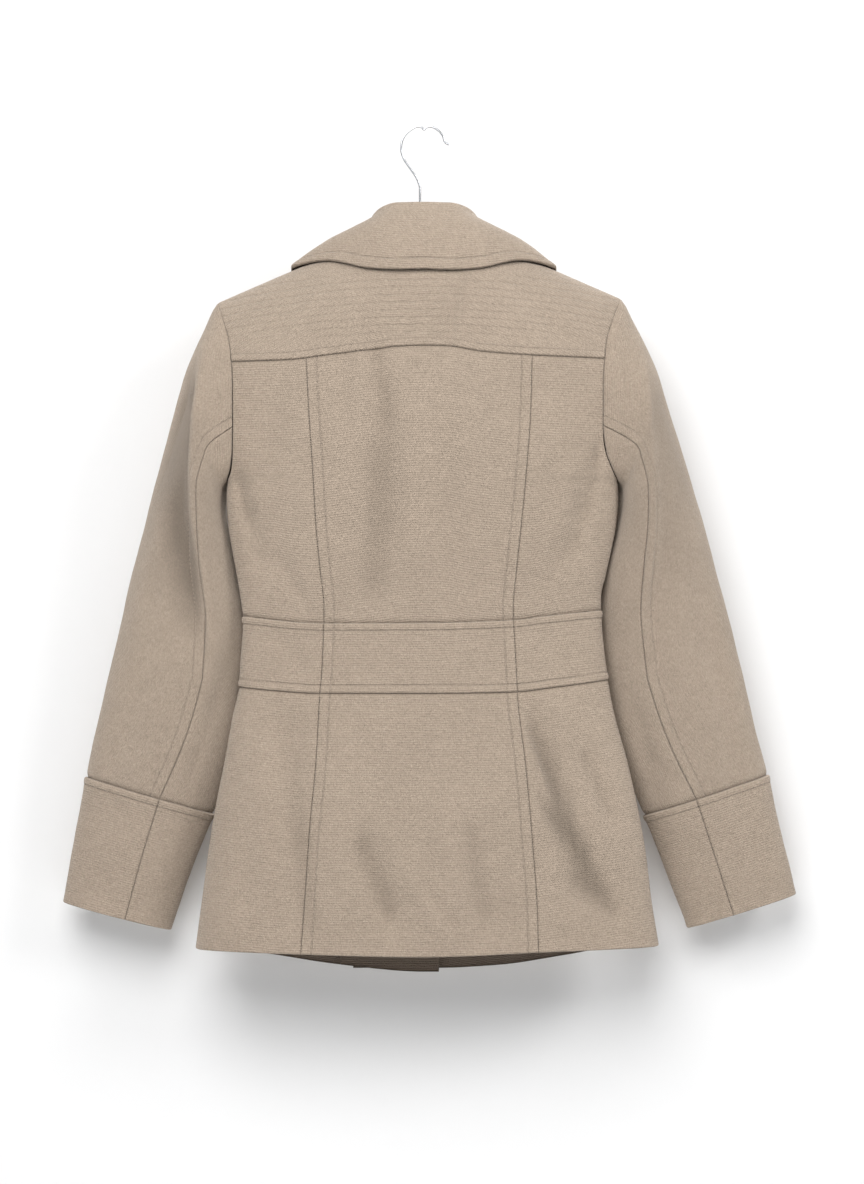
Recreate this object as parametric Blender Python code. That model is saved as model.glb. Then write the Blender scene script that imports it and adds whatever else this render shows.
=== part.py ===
"""A hip-length wool pea coat hanging on a wire-hook hanger.

Sizes are in millimetres and are turned into metres as each mesh is made. +Z is up, the wearer's
left is +X and the back of the coat faces +Y. The origin is the inner top of the hanger's hook.
"""

import math

import bpy
import numpy as np

MM = 0.001

# Cloth and seams
WALL = 2.8
FACING_WALL = 2.0
SEAM_GAP = 0.3
ARMHOLE_GAP = 0.8
SHOULDER_GAP = 0.6
LAYER_GAP = 0.8

# Shoulders
NECK_HALF_WIDTH = 62.0
NECK_POINT_HEIGHT = -110.7
SHOULDER_SLOPE = 0.44
SHOULDER_ROUNDING = 30.0
SHOULDER_ROLL = 90.0
SHOULDER_TIP_LEFT = 205.0
SHOULDER_TIP_RIGHT = -196.0
ARMPIT_HEIGHT = -350.0

# How square the body's section is: 2 is an ellipse
BACK_SQUARENESS = 2.6
FRONT_SQUARENESS = 2.4
SLEEVE_SQUARENESS = 2.2

# Front closing: the right front laps over the left one
UNDER_EDGE = -15.0
OVER_EDGE = 72.0
BREAK_HEIGHT = -335.0
ROLL_LINE_TOP = (60.0, -112.0)
LAP_START = -78.0
LAP_FULL = -42.0

# Buttons on the right front: how far each base is let down to where the cloth is flattest
BUTTONS = [
    ("edge_1", 48.0, -362.0, 0.0),
    ("edge_2", 48.0, -458.0, 0.0),
    ("edge_3", 48.0, -554.0, 0.0),
    ("inner_1", -41.0, -362.0, 0.4),
    ("inner_2", -41.0, -458.0, 0.0),
    ("inner_3", -41.0, -554.0, 0.0),
]

WOOL = (0.52, 0.42, 0.33)
HORN = (0.16, 0.10, 0.06)
CHROME = (0.80, 0.81, 0.82)
BEECH = (0.62, 0.44, 0.28)


class Curve:
    """A smooth curve through a table's points that doesn't overshoot them."""

    def __init__(self, at, values):
        order = np.argsort(at)
        self.at = np.array(at, float)[order]
        self.values = np.array(values, float)[order]
        rise = np.diff(self.values) / np.diff(self.at)
        before, after = rise[:-1], rise[1:]
        even = np.where(before * after > 0, 2 * before * after / (before + after + 1e-12), 0)
        self.slopes = np.concatenate([rise[:1], even, rise[-1:]])

    def __call__(self, x):
        x = np.asarray(x, float)
        held = np.clip(x, self.at[0], self.at[-1])
        i = np.clip(np.searchsorted(self.at, held) - 1, 0, len(self.at) - 2)
        span = self.at[i + 1] - self.at[i]
        t = (held - self.at[i]) / span
        start, end = self.values[i], self.values[i + 1]
        lean_in, lean_out = self.slopes[i] * span, self.slopes[i + 1] * span
        inside = (
            start * (1 + 2 * t) * (1 - t) ** 2
            + lean_in * t * (1 - t) ** 2
            + end * t * t * (3 - 2 * t)
            + lean_out * t * t * (t - 1)
        )
        past = np.where(x < self.at[0], self.slopes[0], self.slopes[-1]) * (x - held)
        return inside + past


def table(columns, rows):
    """Named smooth curves, one for each column after the first, which they run along."""
    names = columns.split()
    cells = np.array(rows, float)
    return {name: Curve(cells[:, 0], cells[:, i]) for i, name in enumerate(names) if i}


# The body's outer face, by height: half widths to each side of x = 0, the depth of the back and
# of the front, and how far behind y = 0 the side seams lie.
BODY = table(
    "height left right back front side",
    [
        (-77, 246, 236, 30, 32, 0),
        (-150, 232, 221, 42, 42, 0),
        (-200, 222, 211, 50, 50, 1),
        (-250, 213, 202, 55, 58, 4),
        (-300, 205, 196, 56, 63, 7),
        (-350, 196, 193, 55, 64, 10),
        (-366, 197, 194, 54, 63, 11),
        (-395, 195, 191.5, 51, 60, 12),
        (-418, 191.5, 187, 49, 57, 12),
        (-445, 186.5, 181, 46, 54, 12),
        (-466, 183, 176.5, 44, 51, 12),
        (-490, 180.4, 177.2, 42, 49, 12),
        (-535, 183.3, 181.6, 42, 48, 12),
        (-556, 184.5, 184.7, 43, 49, 12),
        (-583, 190.5, 190, 46, 51, 12),
        (-625, 198, 201.5, 51, 54, 12),
        (-670, 207, 212, 55, 57, 12),
        (-720, 215, 221, 58, 59, 12),
        (-770, 221.5, 227, 60, 60, 12),
        (-816, 227.5, 234.5, 61, 61, 12),
        (-850, 231, 239, 61, 61, 12),
    ],
)

# Each armhole's distance from x = 0, by height, in the back and in the front
ARMHOLE = table(
    "height back_left back_right front_left front_right",
    [
        (-168, 206.5, 196.5, 206.5, 196.5),
        (-176, 205, 193.5, 205, 193.5),
        (-184, 202.3, 190, 200.5, 188),
        (-194, 199, 186.5, 195, 183),
        (-209, 194.5, 182, 189, 177.5),
        (-229, 191.5, 179.5, 184, 173.5),
        (-255, 190, 178, 181, 171),
        (-295, 190, 178, 180.5, 170.5),
        (-323, 190.5, 181.5, 183, 174.5),
        (-340, 193, 188, 189, 183.5),
        (-350, 196, 193, 196, 193),
    ],
)

# Seams of the back, as distances from x = 0
PRINCESS = table(
    "height left right",
    [
        (-228, 116.5, -107),
        (-283, 113.5, -105.5),
        (-345, 109.5, -101),
        (-397, 106.5, -96),
        (-441, 102.5, -91.5),
        (-476, 99, -88.5),
        (-538, 101, -91.5),
        (-561, 103, -92.5),
        (-631, 107, -100.5),
        (-705, 114.5, -107),
        (-778, 119.5, -112),
        (-820, 121.5, -113),
    ],
)

# Cross seams and hems, as heights by x
CROSS_SEAM = {
    "yoke": table(
        "x height",
        [
            (-200, -230),
            (-179, -229),
            (-108, -226.5),
            (-58, -223),
            (-23, -217.5),
            (0, -217),
            (27, -218),
            (52, -221),
            (93, -226),
            (135, -231),
            (190, -232),
            (210, -232),
        ],
    )["height"],
    "band_top": table(
        "x height", [(-190, -478), (-120, -485), (-90, -488.7), (0, -491.7), (100, -492), (190, -484.5)]
    )["height"],
    "band_bottom": table(
        "x height", [(-190, -547), (-131, -555), (-83, -560), (0, -561), (104, -561), (154, -558), (190, -554.5)]
    )["height"],
    "back_hem": table(
        "x height", [(-236, -813), (-116, -816.5), (0, -821), (124, -818.5), (229, -816)]
    )["height"],
    "left_front_hem": table(
        "x height", [(-20, -846), (0, -846), (85, -838.5), (152, -827.5), (200, -819), (229, -816.5)]
    )["height"],
    "right_front_hem": table(
        "x height", [(-236, -813.5), (-205, -816), (-144, -828), (-76, -839), (-18, -842.5), (75, -842.5)]
    )["height"],
}

# Soft folds: each runs from (x1, z1) to (x2, z2). A depth below zero is a trough.
BACK_FOLDS = [
    ("upper_back", 46, -235, 38, -440, 17, -3.0),
    ("left_blade", 152, -232, 158, -330, 22, -3.2),
    ("right_blade", -60, -240, -52, -420, 26, 2.2),
    ("left_armpit", 182, -350, 168, -410, 9, -3.0),
    ("right_armpit", -168, -325, -152, -400, 9, -3.2),
    ("right_skirt_upper", -112, -580, -176, -690, 17, -6.0),
    ("right_skirt_lower", -126, -705, -186, -785, 15, -4.5),
    ("right_skirt_swell", -150, -640, -200, -740, 18, 3.0),
    ("left_skirt", 138, -570, 134, -790, 19, -5.0),
    ("left_skirt_swell", 178, -640, 186, -800, 22, 3.0),
    ("middle_skirt", 58, -700, 32, -800, 17, -3.6),
    ("middle_swell", -20, -660, -40, -815, 34, 3.0),
]
FRONT_FOLDS = [
    ("left_bust", 150, -330, 128, -470, 20, -3.2),
    ("right_bust", -146, -330, -120, -480, 22, -3.4),
    ("left_hip", 118, -560, 152, -760, 20, -5.0),
    ("right_hip", -112, -570, -158, -770, 21, -5.2),
    ("left_hem_swell", 180, -640, 190, -810, 20, 2.6),
    ("right_hem_swell", -176, -660, -190, -800, 22, 2.8),
]

# Rings down each sleeve, below its armhole: the ends of the ring on the side away from the body
# and on the side next to it, the ring's middle in y, its half depths, and where the back seam is.
RING_COLUMNS = "outer_x outer_z inner_x inner_z middle back front back_seam".split()
SLEEVE_RINGS = {
    "left": [
        (234, -231, 200, -357, 3, 41, 43, 72),
        (247, -269, 200.5, -367, -2, 46, 47, 78),
        (259, -309, 199, -385, -6, 49, 50, 83),
        (273.5, -365, 193, -411, -11, 48, 50, 79),
        (287, -419, 186, -446, -15, 45, 47, 75),
        (300, -469, 177.5, -492, -17, 40, 41, 70),
        (313, -529, 180, -558, -20, 34, 36, 68),
        (327, -589, 190, -622, -23, 31, 33, 74),
        (340, -647, 212, -684, -28, 28, 29, 80),
        (352, -709, 234.5, -740, -33, 25, 26, 80),
        (364, -774, 256, -802, -38, 23, 24, 80),
    ],
    "right": [
        (-229, -231, -197.5, -357, 3, 41, 43, 72),
        (-243, -269, -197.5, -367, -2, 46, 47, 78),
        (-256, -309, -195, -385, -6, 49, 50, 83),
        (-273, -365, -188, -411, -11, 48, 50, 79),
        (-288, -419, -178, -446, -14, 45, 47, 75),
        (-301.5, -469, -174.5, -492, -17, 40, 41, 70),
        (-317, -529, -181, -558, -20, 34, 36, 68),
        (-331, -589, -195, -622, -23, 31, 33, 74),
        (-346, -645, -221, -686, -28, 28, 29, 80),
        (-360, -706, -244, -742, -33, 25, 26, 80),
        (-375, -766, -266, -800, -38, 23, 24, 80),
    ],
}
CUFF_RING = 9
LAST_RING = 11
ARMHOLE_BACK_SEAM = 66.0
FRONT_SEAM = -60.0
UNDER_COLUMNS = 4
UPPER_COLUMNS = 8

# The collar, from the middle of the back (0) to its front end (1): the neck seam, the top of the
# stand and the outer edge. Turns are in degrees over the shoulder line, to the back above zero.
NECK_TURNS = table("x turn", [(0, 39), (26, 34), (48, 20.5), (61, 0.02)])["turn"]
COLLAR = table(
    "station neck_x front_turn roll_x roll_y roll_z edge_x edge_turn lift",
    [
        (0.0, 0, 0, 0, 19, -72, 0, 58, 6.0),
        (0.2, 26, 0, 25, 17.5, -72.3, 52, 46, 6.0),
        (0.38, 48, 0, 43, 10, -77, 98, 21, 5.0),
        (0.5, 61, 0, 52, -1, -86, 131, 2, 4.2),
        (0.65, 61, -20, 54, -16, -99, 132, -20, 4.2),
        (0.8, 61, -33, 51, -28, -115, 129, -33, 5.0),
        (1.0, 61, -43.5, 46, -37, -130, 125, -41, 6.5),
    ],
)
COLLAR_KNOTS = (0.0, 0.2, 0.34, 0.42, 0.5, 0.75, 1.0)
FOLD_HALF_WIDTH = 4.2
COLLAR_GAP = 1.7
COLLAR_BULGE = 3.0

# Lapels, as corners in x and z: the roll line's ends, the notch, the tip and the lower end of the
# outer edge. The left one ends where the right front covers it.
LAPELS = {
    "right": {"roll": ((-47, -137), (65, -326)), "notch": (-86, -152.5), "tip": (-128, -187), "foot": (69, -334)},
    "left": {"roll": ((47, -137), (2.5, -212)), "notch": (86, -152.5), "tip": (128, -187), "foot": (31, -259)},
}
LAPEL_GAP = 1.0
LAPEL_BELLY = 7.0
FACING_WIDTH = 100.0
FACING_TOP = -356.0
FACING_GAP = 1.1

HOOK_RADIUS = 1.25
HOOK_ROUTE = [
    (4.0, -110.9),
    (4.0, -80.0),
    (4.0, -56.0),
    (6.5, -48.5),
    (14.0, -37.0),
    (20.5, -27.0),
    (22.9, -17.0),
    (20.5, -6.5),
    (13.5, 1.0),
    (4.8, 4.6),
    (1.6, 3.2),
    (0.0, 1.25),
    (-1.8, 3.2),
    (-5.2, 4.6),
    (-13.0, 1.6),
    (-19.0, -5.0),
    (-21.4, -11.5),
    (-25.0, -13.4),
]
BAR_ENDS = (-180.0, 189.0)
BAR_HALF_WIDTH = 5.5
BAR_HALF_HEIGHT = 8.0
BAR_ROUNDING = 75.0
BAR_CONTACT = 180.0
BAR_GAP = 0.5
BUTTON_PROFILE = ((3.0, 0.3), (3.0, 2.2), (13.0, 2.6), (13.0, 5.8), (11.4, 6.5), (9.8, 5.2))


def shoulder(x):
    """Height of the shoulder line, which is rounded off where it crosses the neck."""
    reach = np.sqrt(np.square(x) + SHOULDER_ROUNDING**2)
    neck_reach = math.hypot(NECK_HALF_WIDTH, SHOULDER_ROUNDING)
    return NECK_POINT_HEIGHT - SHOULDER_SLOPE * (reach - neck_reach)


def drop_of(turn):
    """Depth below the shoulder line: the cloth rolls over it and then runs straight down."""
    rolled = np.clip(np.abs(turn), 0, math.pi / 2)
    return SHOULDER_ROLL * (1 - np.cos(rolled) + np.abs(turn) - rolled)


def turn_of(drop):
    share = np.clip(drop / SHOULDER_ROLL, 0, None)
    return np.where(share < 1, np.arccos(1 - np.clip(share, 0, 1)), math.pi / 2 + share - 1)


def squareness(face):
    return BACK_SQUARENESS if face > 0 else FRONT_SQUARENESS


def section_reach(angle, face):
    power = squareness(face)
    return (np.abs(np.cos(angle)) ** power + np.abs(np.sin(angle)) ** power) ** (1 / power)


def half_width(x, height):
    return np.where(np.asarray(x) >= 0, BODY["left"](height), BODY["right"](height))


def angle_of(x, height, face):
    """Where x lies round the body's section: 0 at the left side seam, pi at the right one."""
    share = np.clip(np.abs(x) / half_width(x, height), 1e-9, 1)
    power = squareness(face)
    angle = np.arctan((share**-power - 1) ** (1 / power))
    return np.where(np.asarray(x) >= 0, angle, math.pi - angle)


def body_x(angle, height, face):
    side = np.cos(angle)
    return half_width(side, height) * side / section_reach(angle, face)


def fold_rise(folds, x, z):
    """Sum of the soft folds: each is a rounded trough or swell that fades at its ends."""
    rise = np.zeros_like(np.asarray(x, float) + z)
    for _, x1, z1, x2, z2, width, depth in folds:
        length = math.hypot(x2 - x1, z2 - z1)
        along = ((x - x1) * (x2 - x1) + (z - z1) * (z2 - z1)) / length**2
        across = ((x - x1) * (z2 - z1) - (z - z1) * (x2 - x1)) / length
        beyond = np.clip(np.abs(along - 0.5) - 0.3, 0, None) / 0.3
        rise = rise + depth * np.exp(-((across / width) ** 2) - 2 * beyond**2)
    return rise


def body_y(x, z, face, turn):
    """y of the body's outer face. turn is the turn over the shoulder line at that height."""
    angle = angle_of(x, z, face)
    fullness = np.sin(angle) / section_reach(angle, face)
    side = BODY["side"](z)
    depth = BODY["back"](z) - side if face > 0 else BODY["front"](z) + side
    folds = BACK_FOLDS if face > 0 else FRONT_FOLDS
    fade = np.clip(fullness, 0, 1) ** 2
    rolled = np.sin(np.clip(np.abs(turn), 0, math.pi / 2))
    return side + face * (depth * fullness * rolled + fade * rolled * fold_rise(folds, x, z))


def lap_lift(x, z):
    """How far the right front stands off the body where it laps over the left one."""
    t = np.clip((np.asarray(x) - LAP_START) / (LAP_FULL - LAP_START), 0, 1)
    return (WALL + LAYER_GAP) * t * t * (3 - 2 * t)


def panel(face, first, last, top, bottom, lift=None):
    """A body panel as a function of u across it and v down it.

    first and last give the angle of its two edges by height; top and bottom give heights by x,
    and a top of None is the shoulder line.
    """

    def point(u, v):
        x = np.zeros_like(u)
        z = np.full_like(u, -300.0)
        turn = np.zeros_like(u)
        for _ in range(24):
            angle = (1 - u) * first(z) + u * last(z)
            x = body_x(angle, z, face)
            upper = 0.0 if top is None else turn_of(shoulder(x) - top(x))
            lower = turn_of(shoulder(x) - bottom(x))
            turn = (1 - v) * upper + v * lower
            z = shoulder(x) - drop_of(turn)
        y = body_y(x, z, face, turn)
        if lift is not None:
            y = y + face * lift(x, z)
        return np.stack([x, y, z], -1)

    return point


def armhole_x(side, face, height):
    name = ("back_" if face > 0 else "front_") + side
    reach = np.minimum(ARMHOLE[name](height), BODY[side](height))
    return reach if side == "left" else -reach


def side_edge(side, face):
    """Angle of a panel's outer edge: the armhole, and the side seam below the armpit."""

    def edge(height):
        seam = 0.0 if side == "left" else math.pi
        held = np.maximum(height, ARMPIT_HEIGHT)
        cut = angle_of(armhole_x(side, face, held), held, face)
        return np.where(height > ARMPIT_HEIGHT, cut, seam)

    return edge


def seam_edge(reach, face):
    return lambda height: angle_of(reach(height), height, face)


def shoulder_tip(side):
    """Where the armhole crosses the shoulder line."""
    x = SHOULDER_TIP_LEFT if side == "left" else SHOULDER_TIP_RIGHT
    for _ in range(12):
        x = float(armhole_x(side, 1, float(shoulder(x))))
    return x, float(shoulder(x))


def armhole_point(side, phi):
    """A point of the armhole: phi is 0 at the armpit, 90 degrees in the back, 180 on top."""
    phi = np.asarray(phi, float) % (2 * math.pi)
    z = ARMPIT_HEIGHT + (shoulder_tip(side)[1] - ARMPIT_HEIGHT) * (1 - np.cos(phi)) / 2
    faces = []
    for face in (1, -1):
        x = armhole_x(side, face, z)
        turn = turn_of(np.maximum(shoulder(x) - z, 0))
        faces.append(np.stack([x, body_y(x, z, face, turn), z], -1))
    return np.where((phi <= math.pi)[..., None], faces[0], faces[1])


def ring_point(side, ring, phi):
    cells = dict(zip(RING_COLUMNS, SLEEVE_RINGS[side][ring - 1]))
    outer = np.array([cells["outer_x"], cells["middle"], cells["outer_z"]])
    inner = np.array([cells["inner_x"], cells["middle"], cells["inner_z"]])
    reach = (np.abs(np.cos(phi)) ** SLEEVE_SQUARENESS + np.abs(np.sin(phi)) ** SLEEVE_SQUARENESS) ** (
        1 / SLEEVE_SQUARENESS
    )
    across = (np.cos(phi) / reach)[..., None] * (inner - outer) / 2
    deep = np.where(np.sin(phi) > 0, cells["back"], cells["front"]) * np.sin(phi) / reach
    return (inner + outer) / 2 + across + deep[..., None] * np.array([0.0, 1.0, 0.0])


def sleeve_angle(column, ring):
    """phi of a column: whole numbers run 0 to 8 under the arm and 8 to 24 over it."""
    seams = [ARMHOLE_BACK_SEAM] + [row[-1] for row in SLEEVE_RINGS["left"]]
    back_seam = np.interp(ring, range(len(seams)), seams)
    under, over = UNDER_COLUMNS, UPPER_COLUMNS
    steps = np.cumsum([0, under, under, over, over])
    c = np.asarray(column, float)
    first = FRONT_SEAM + (0 - FRONT_SEAM) * c / under
    second = back_seam * (c - steps[1]) / under
    third = back_seam + (180 - back_seam) * (c - steps[2]) / over
    fourth = 180 + (180 + FRONT_SEAM) * (c - steps[3]) / over
    degrees = np.where(c <= steps[1], first, np.where(c <= steps[2], second, np.where(c <= steps[3], third, fourth)))
    return np.radians(degrees)


def smooth_through(knots, values, t):
    """A smooth curve through values, whose first axis runs along knots, at each t."""
    knots = np.asarray(knots, float)
    gaps = np.diff(knots).reshape((-1,) + (1,) * (values.ndim - 1))
    rise = np.diff(values, axis=0) / gaps
    inner = (rise[:-1] * gaps[1:] + rise[1:] * gaps[:-1]) / (gaps[1:] + gaps[:-1])
    slopes = np.concatenate([rise[:1] * 1.2 - rise[1:2] * 0.2, inner, rise[-1:]])
    k = np.clip(np.searchsorted(knots, t, side="right") - 1, 0, len(knots) - 2)
    span = (knots[k + 1] - knots[k])[..., None]
    share = (t - knots[k])[..., None] / span
    at = k[None, ..., None]
    start, end = np.take_along_axis(values, at, 0)[0], np.take_along_axis(values, at + 1, 0)[0]
    lean_in, lean_out = np.take_along_axis(slopes, at, 0)[0], np.take_along_axis(slopes, at + 1, 0)[0]
    return (
        start * (1 + 2 * share) * (1 - share) ** 2
        + lean_in * span * share * (1 - share) ** 2
        + end * share**2 * (3 - 2 * share)
        + lean_out * span * share**2 * (share - 1)
    )


def sleeve(side):
    """A sleeve's outer face as a function of its column and its ring, 0 at the armhole."""

    def point(column, ring):
        phi = sleeve_angle(column, ring)
        rings = [armhole_point(side, phi)]
        rings += [ring_point(side, k, phi) for k in range(1, LAST_RING + 1)]
        return smooth_through(range(LAST_RING + 1), np.array(rings), ring)

    return point


def armhole_rim(side, phi):
    """Which way an armhole's rim faces, shared by the body and the sleeve."""
    step = 1e-3
    along = armhole_point(side, phi + step) - armhole_point(side, phi - step)
    out = 1.0 if side == "left" else -1.0
    outward = np.array([out, 0.0, 0.0]) - np.array([0.0, 0.0, 1.0]) * (0.55 * (1 - np.cos(phi)) / 2)[..., None]
    rim = np.cross(along, outward)
    rim /= np.linalg.norm(rim, axis=-1, keepdims=True)
    middle = armhole_point(side, np.array([0.0, math.pi])).mean(axis=0)
    away = armhole_point(side, phi) - middle
    return rim * np.sign((rim * away).sum(-1, keepdims=True))


def normals_of(point, u, v, outward):
    """Unit normals of a surface by small steps that stay inside it."""
    step = 1e-3
    span_u, span_v = u.max() - u.min(), v.max() - v.min()
    u0, u1 = np.clip(u - step * span_u, u.min(), u.max()), np.clip(u + step * span_u, u.min(), u.max())
    v0, v1 = np.clip(v - step * span_v, v.min(), v.max()), np.clip(v + step * span_v, v.min(), v.max())
    normal = np.cross(point(u1, v) - point(u0, v), point(u, v1) - point(u, v0))
    normal /= np.linalg.norm(normal, axis=-1, keepdims=True)
    return normal * np.sign((normal * outward(point(u, v))).sum(-1).sum())


def trim_edges(points, gaps):
    """Draws each edge of a grid in by its gap. gaps are for u = 0, u = 1, v = 0 and v = 1."""
    points = points.copy()
    for gap, edge, inside in (
        (gaps[0], np.s_[0, :], np.s_[1, :]),
        (gaps[1], np.s_[-1, :], np.s_[-2, :]),
        (gaps[2], np.s_[:, 0], np.s_[:, 1]),
        (gaps[3], np.s_[:, -1], np.s_[:, -2]),
    ):
        step = points[inside] - points[edge]
        points[edge] += gap * step / np.linalg.norm(step, axis=-1, keepdims=True)
    return points


def make_material(name, colour, roughness, metallic=0.0):
    material = bpy.data.materials.get(name) or bpy.data.materials.new(name)
    material.use_nodes = True
    shader = material.node_tree.nodes["Principled BSDF"]
    shader.inputs["Base Color"].default_value = (*colour, 1)
    shader.inputs["Roughness"].default_value = roughness
    shader.inputs["Metallic"].default_value = metallic
    return material


def make_object(name, points, faces, material):
    """A mesh object from points in millimetres, with its faces turned outwards."""
    points = np.asarray(points) * MM
    mesh = bpy.data.meshes.new(name)
    corners = np.array([(f[0], f[i], f[i + 1]) for f in faces for i in range(1, len(f) - 1)])
    if np.linalg.det(points[corners]).sum() < 0:
        faces = [tuple(reversed(f)) for f in faces]
    mesh.from_pydata([tuple(p) for p in points], [], faces)
    mesh.materials.append(material)
    mesh.shade_smooth()
    mesh.set_sharp_from_angle(angle=math.radians(40))
    made = bpy.data.objects.new(name, mesh)
    bpy.context.collection.objects.link(made)
    return made


def make_wall(name, outer, inner, material):
    """A closed wall between two grids of points of the same size."""
    columns, rows = outer.shape[:2]
    count = columns * rows
    index = np.arange(count).reshape(columns, rows)
    faces = []
    for i in range(columns - 1):
        for j in range(rows - 1):
            quad = (index[i, j], index[i + 1, j], index[i + 1, j + 1], index[i, j + 1])
            faces.append(tuple(int(k) for k in quad))
            faces.append(tuple(int(k) + count for k in reversed(quad)))
    rim = [*index[:, 0], *index[-1, 1:], *index[-2::-1, -1], *index[0, -2:0:-1]]
    points = np.concatenate([outer.reshape(-1, 3), inner.reshape(-1, 3)])
    for a, b in zip(rim, rim[1:] + rim[:1]):
        a, b = int(a), int(b)
        # both sides of a seam split their rims the same way, from the higher outer point
        if tuple(points[a][[2, 0]]) > tuple(points[b][[2, 0]]):
            faces += [(b, a, b + count), (a, a + count, b + count)]
        else:
            faces += [(b, a, a + count), (b, a + count, b + count)]
    return make_object(name, points, faces, material)


def cloth(name, point, us, vs, outward, gaps, material, wall=WALL, rims=None, raised=0.0):
    """A piece of cloth: its outer face from a surface, trimmed at the seams, and its wall inwards.

    rims maps an edge ("first" or "last" column) to the direction its rim faces, row by row.
    """
    u, v = np.meshgrid(np.array(us, float), np.array(vs, float), indexing="ij")
    normals = normals_of(point, u, v, outward)
    for edge, (rows, directions) in (rims or {}).items():
        normals[0 if edge == "first" else -1, rows] = directions
    face = trim_edges(point(u, v) + raised * normals, gaps)
    return make_wall(name, face, face - wall * normals, material)


def away_from_body(points):
    middle = np.array([0.0, 5.0, 0.0])
    return (points - middle) * np.array([1.0, 1.0, 0.0]) + np.array([0.0, 0.0, 1e-3])


def share_of_turn(point_x, point_z, top, bottom):
    """v at which a panel's edge passes a point of its own edge."""
    upper = 0.0 if top is None else turn_of(shoulder(point_x) - top(point_x))
    lower = turn_of(shoulder(point_x) - bottom(point_x))
    return (turn_of(shoulder(point_x) - point_z) - upper) / (lower - upper)


def armhole_columns(face):
    """The sleeve's own columns that a back (face 1) or front panel meets, from the top down."""
    under, over = UNDER_COLUMNS, UPPER_COLUMNS
    if face > 0:
        return np.arange(2 * under + over, under - 1, -1)
    columns = np.arange(2 * under + over, 2 * under + 2 * over + 1)
    return np.concatenate([columns, np.arange(1, under + 1)])


def armhole_turn_at(side, face, height_of):
    """phi where a cross seam meets the armhole."""
    z = -230.0
    for _ in range(12):
        z = float(height_of(armhole_x(side, face, z)))
    share = (z - ARMPIT_HEIGHT) / (shoulder_tip(side)[1] - ARMPIT_HEIGHT)
    phi = math.acos(1 - 2 * share)
    return phi if face > 0 else 2 * math.pi - phi


def armhole_rows(side, face, top, bottom, lower_rows):
    """Rows that meet the armhole at the sleeve's columns, then even rows down to the bottom.

    With no lower rows, the panel ends where its bottom seam meets the armhole.
    """
    columns = armhole_columns(face)
    phi = sleeve_angle(columns, np.zeros(len(columns)))
    if top is not None:
        corner = armhole_turn_at(side, face, top)
        phi = np.concatenate([[corner], phi[phi < corner - 0.05]])
    if not lower_rows:
        corner = armhole_turn_at(side, face, bottom)
        phi = np.concatenate([phi[phi > corner + 0.05], [corner]])
    points = armhole_point(side, phi)
    rows = share_of_turn(points[:, 0], points[:, 2], top, bottom)
    rims = (np.arange(len(phi)), armhole_rim(side, phi))
    if lower_rows:
        rows = np.concatenate([rows, np.linspace(rows[-1], 1, lower_rows + 1)[1:]])
    return np.clip(rows, 0, 1), rims


def clear_scene():
    for old in list(bpy.data.objects):
        bpy.data.objects.remove(old, do_unlink=True)


def build_back(wool):
    half_gap = SEAM_GAP / 2
    middle_gaps = (half_gap,) * 4
    left_seam, right_seam = seam_edge(PRINCESS["left"], 1), seam_edge(PRINCESS["right"], 1)
    yoke, band_top = CROSS_SEAM["yoke"], CROSS_SEAM["band_top"]
    band_bottom, hem = CROSS_SEAM["band_bottom"], CROSS_SEAM["back_hem"]
    for name, top, bottom, rows in (
        ("back_centre_upper", yoke, band_top, 10),
        ("band_centre", band_top, band_bottom, 3),
        ("skirt_centre", band_bottom, hem, 10),
    ):
        surface = panel(1, left_seam, right_seam, top, bottom)
        cloth(name, surface, np.linspace(0, 1, 10), np.linspace(0, 1, rows), away_from_body, middle_gaps, wool)
    for side, seam in (("left", left_seam), ("right", right_seam)):
        edge = side_edge(side, 1)
        surface = panel(1, edge, seam, yoke, band_top)
        rows, rims = armhole_rows(side, 1, yoke, band_top, 5)
        gaps = (ARMHOLE_GAP / 2, half_gap, half_gap, half_gap)
        columns = np.linspace(0, 1, 8)
        cloth(f"back_side_upper_{side}", surface, columns, rows, away_from_body, gaps, wool, rims={"first": rims})
        for name, top, bottom, count in (
            ("band_side", band_top, band_bottom, 3),
            ("skirt_side", band_bottom, hem, 10),
        ):
            surface = panel(1, edge, seam, top, bottom)
            cloth(f"{name}_{side}", surface, columns, np.linspace(0, 1, count), away_from_body, middle_gaps, wool)


def neck_edge():
    """The yoke's own neckline: from neck point to neck point round the back."""
    return lambda x: shoulder(x) - drop_of(np.radians(NECK_TURNS(np.minimum(np.abs(x), 61))))


def build_yoke(wool):
    """The yoke runs over both shoulders, so its columns bend round the neck."""
    top = neck_edge()
    surface = panel(1, side_edge("left", 1), side_edge("right", 1), top, CROSS_SEAM["yoke"])
    rows, left_rims = armhole_rows("left", 1, None, CROSS_SEAM["yoke"], 0)
    right_rims = armhole_rows("right", 1, None, CROSS_SEAM["yoke"], 0)[1]
    gaps = (ARMHOLE_GAP / 2, ARMHOLE_GAP / 2, SHOULDER_GAP / 2, SEAM_GAP / 2)
    cloth(
        "back_yoke",
        surface,
        np.linspace(0, 1, 23),
        rows,
        away_from_body,
        gaps,
        wool,
        rims={"first": left_rims, "last": right_rims},
    )


def front_edge_left(height):
    top_x, top_z = ROLL_LINE_TOP
    slope = (OVER_EDGE + top_x) / (top_z - BREAK_HEIGHT)
    return np.maximum(top_x + slope * (height - top_z), UNDER_EDGE)


def front_edge_right(height):
    top_x, top_z = ROLL_LINE_TOP
    slope = (OVER_EDGE + top_x) / (top_z - BREAK_HEIGHT)
    return np.minimum(-top_x - slope * (height - top_z), OVER_EDGE)


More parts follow.
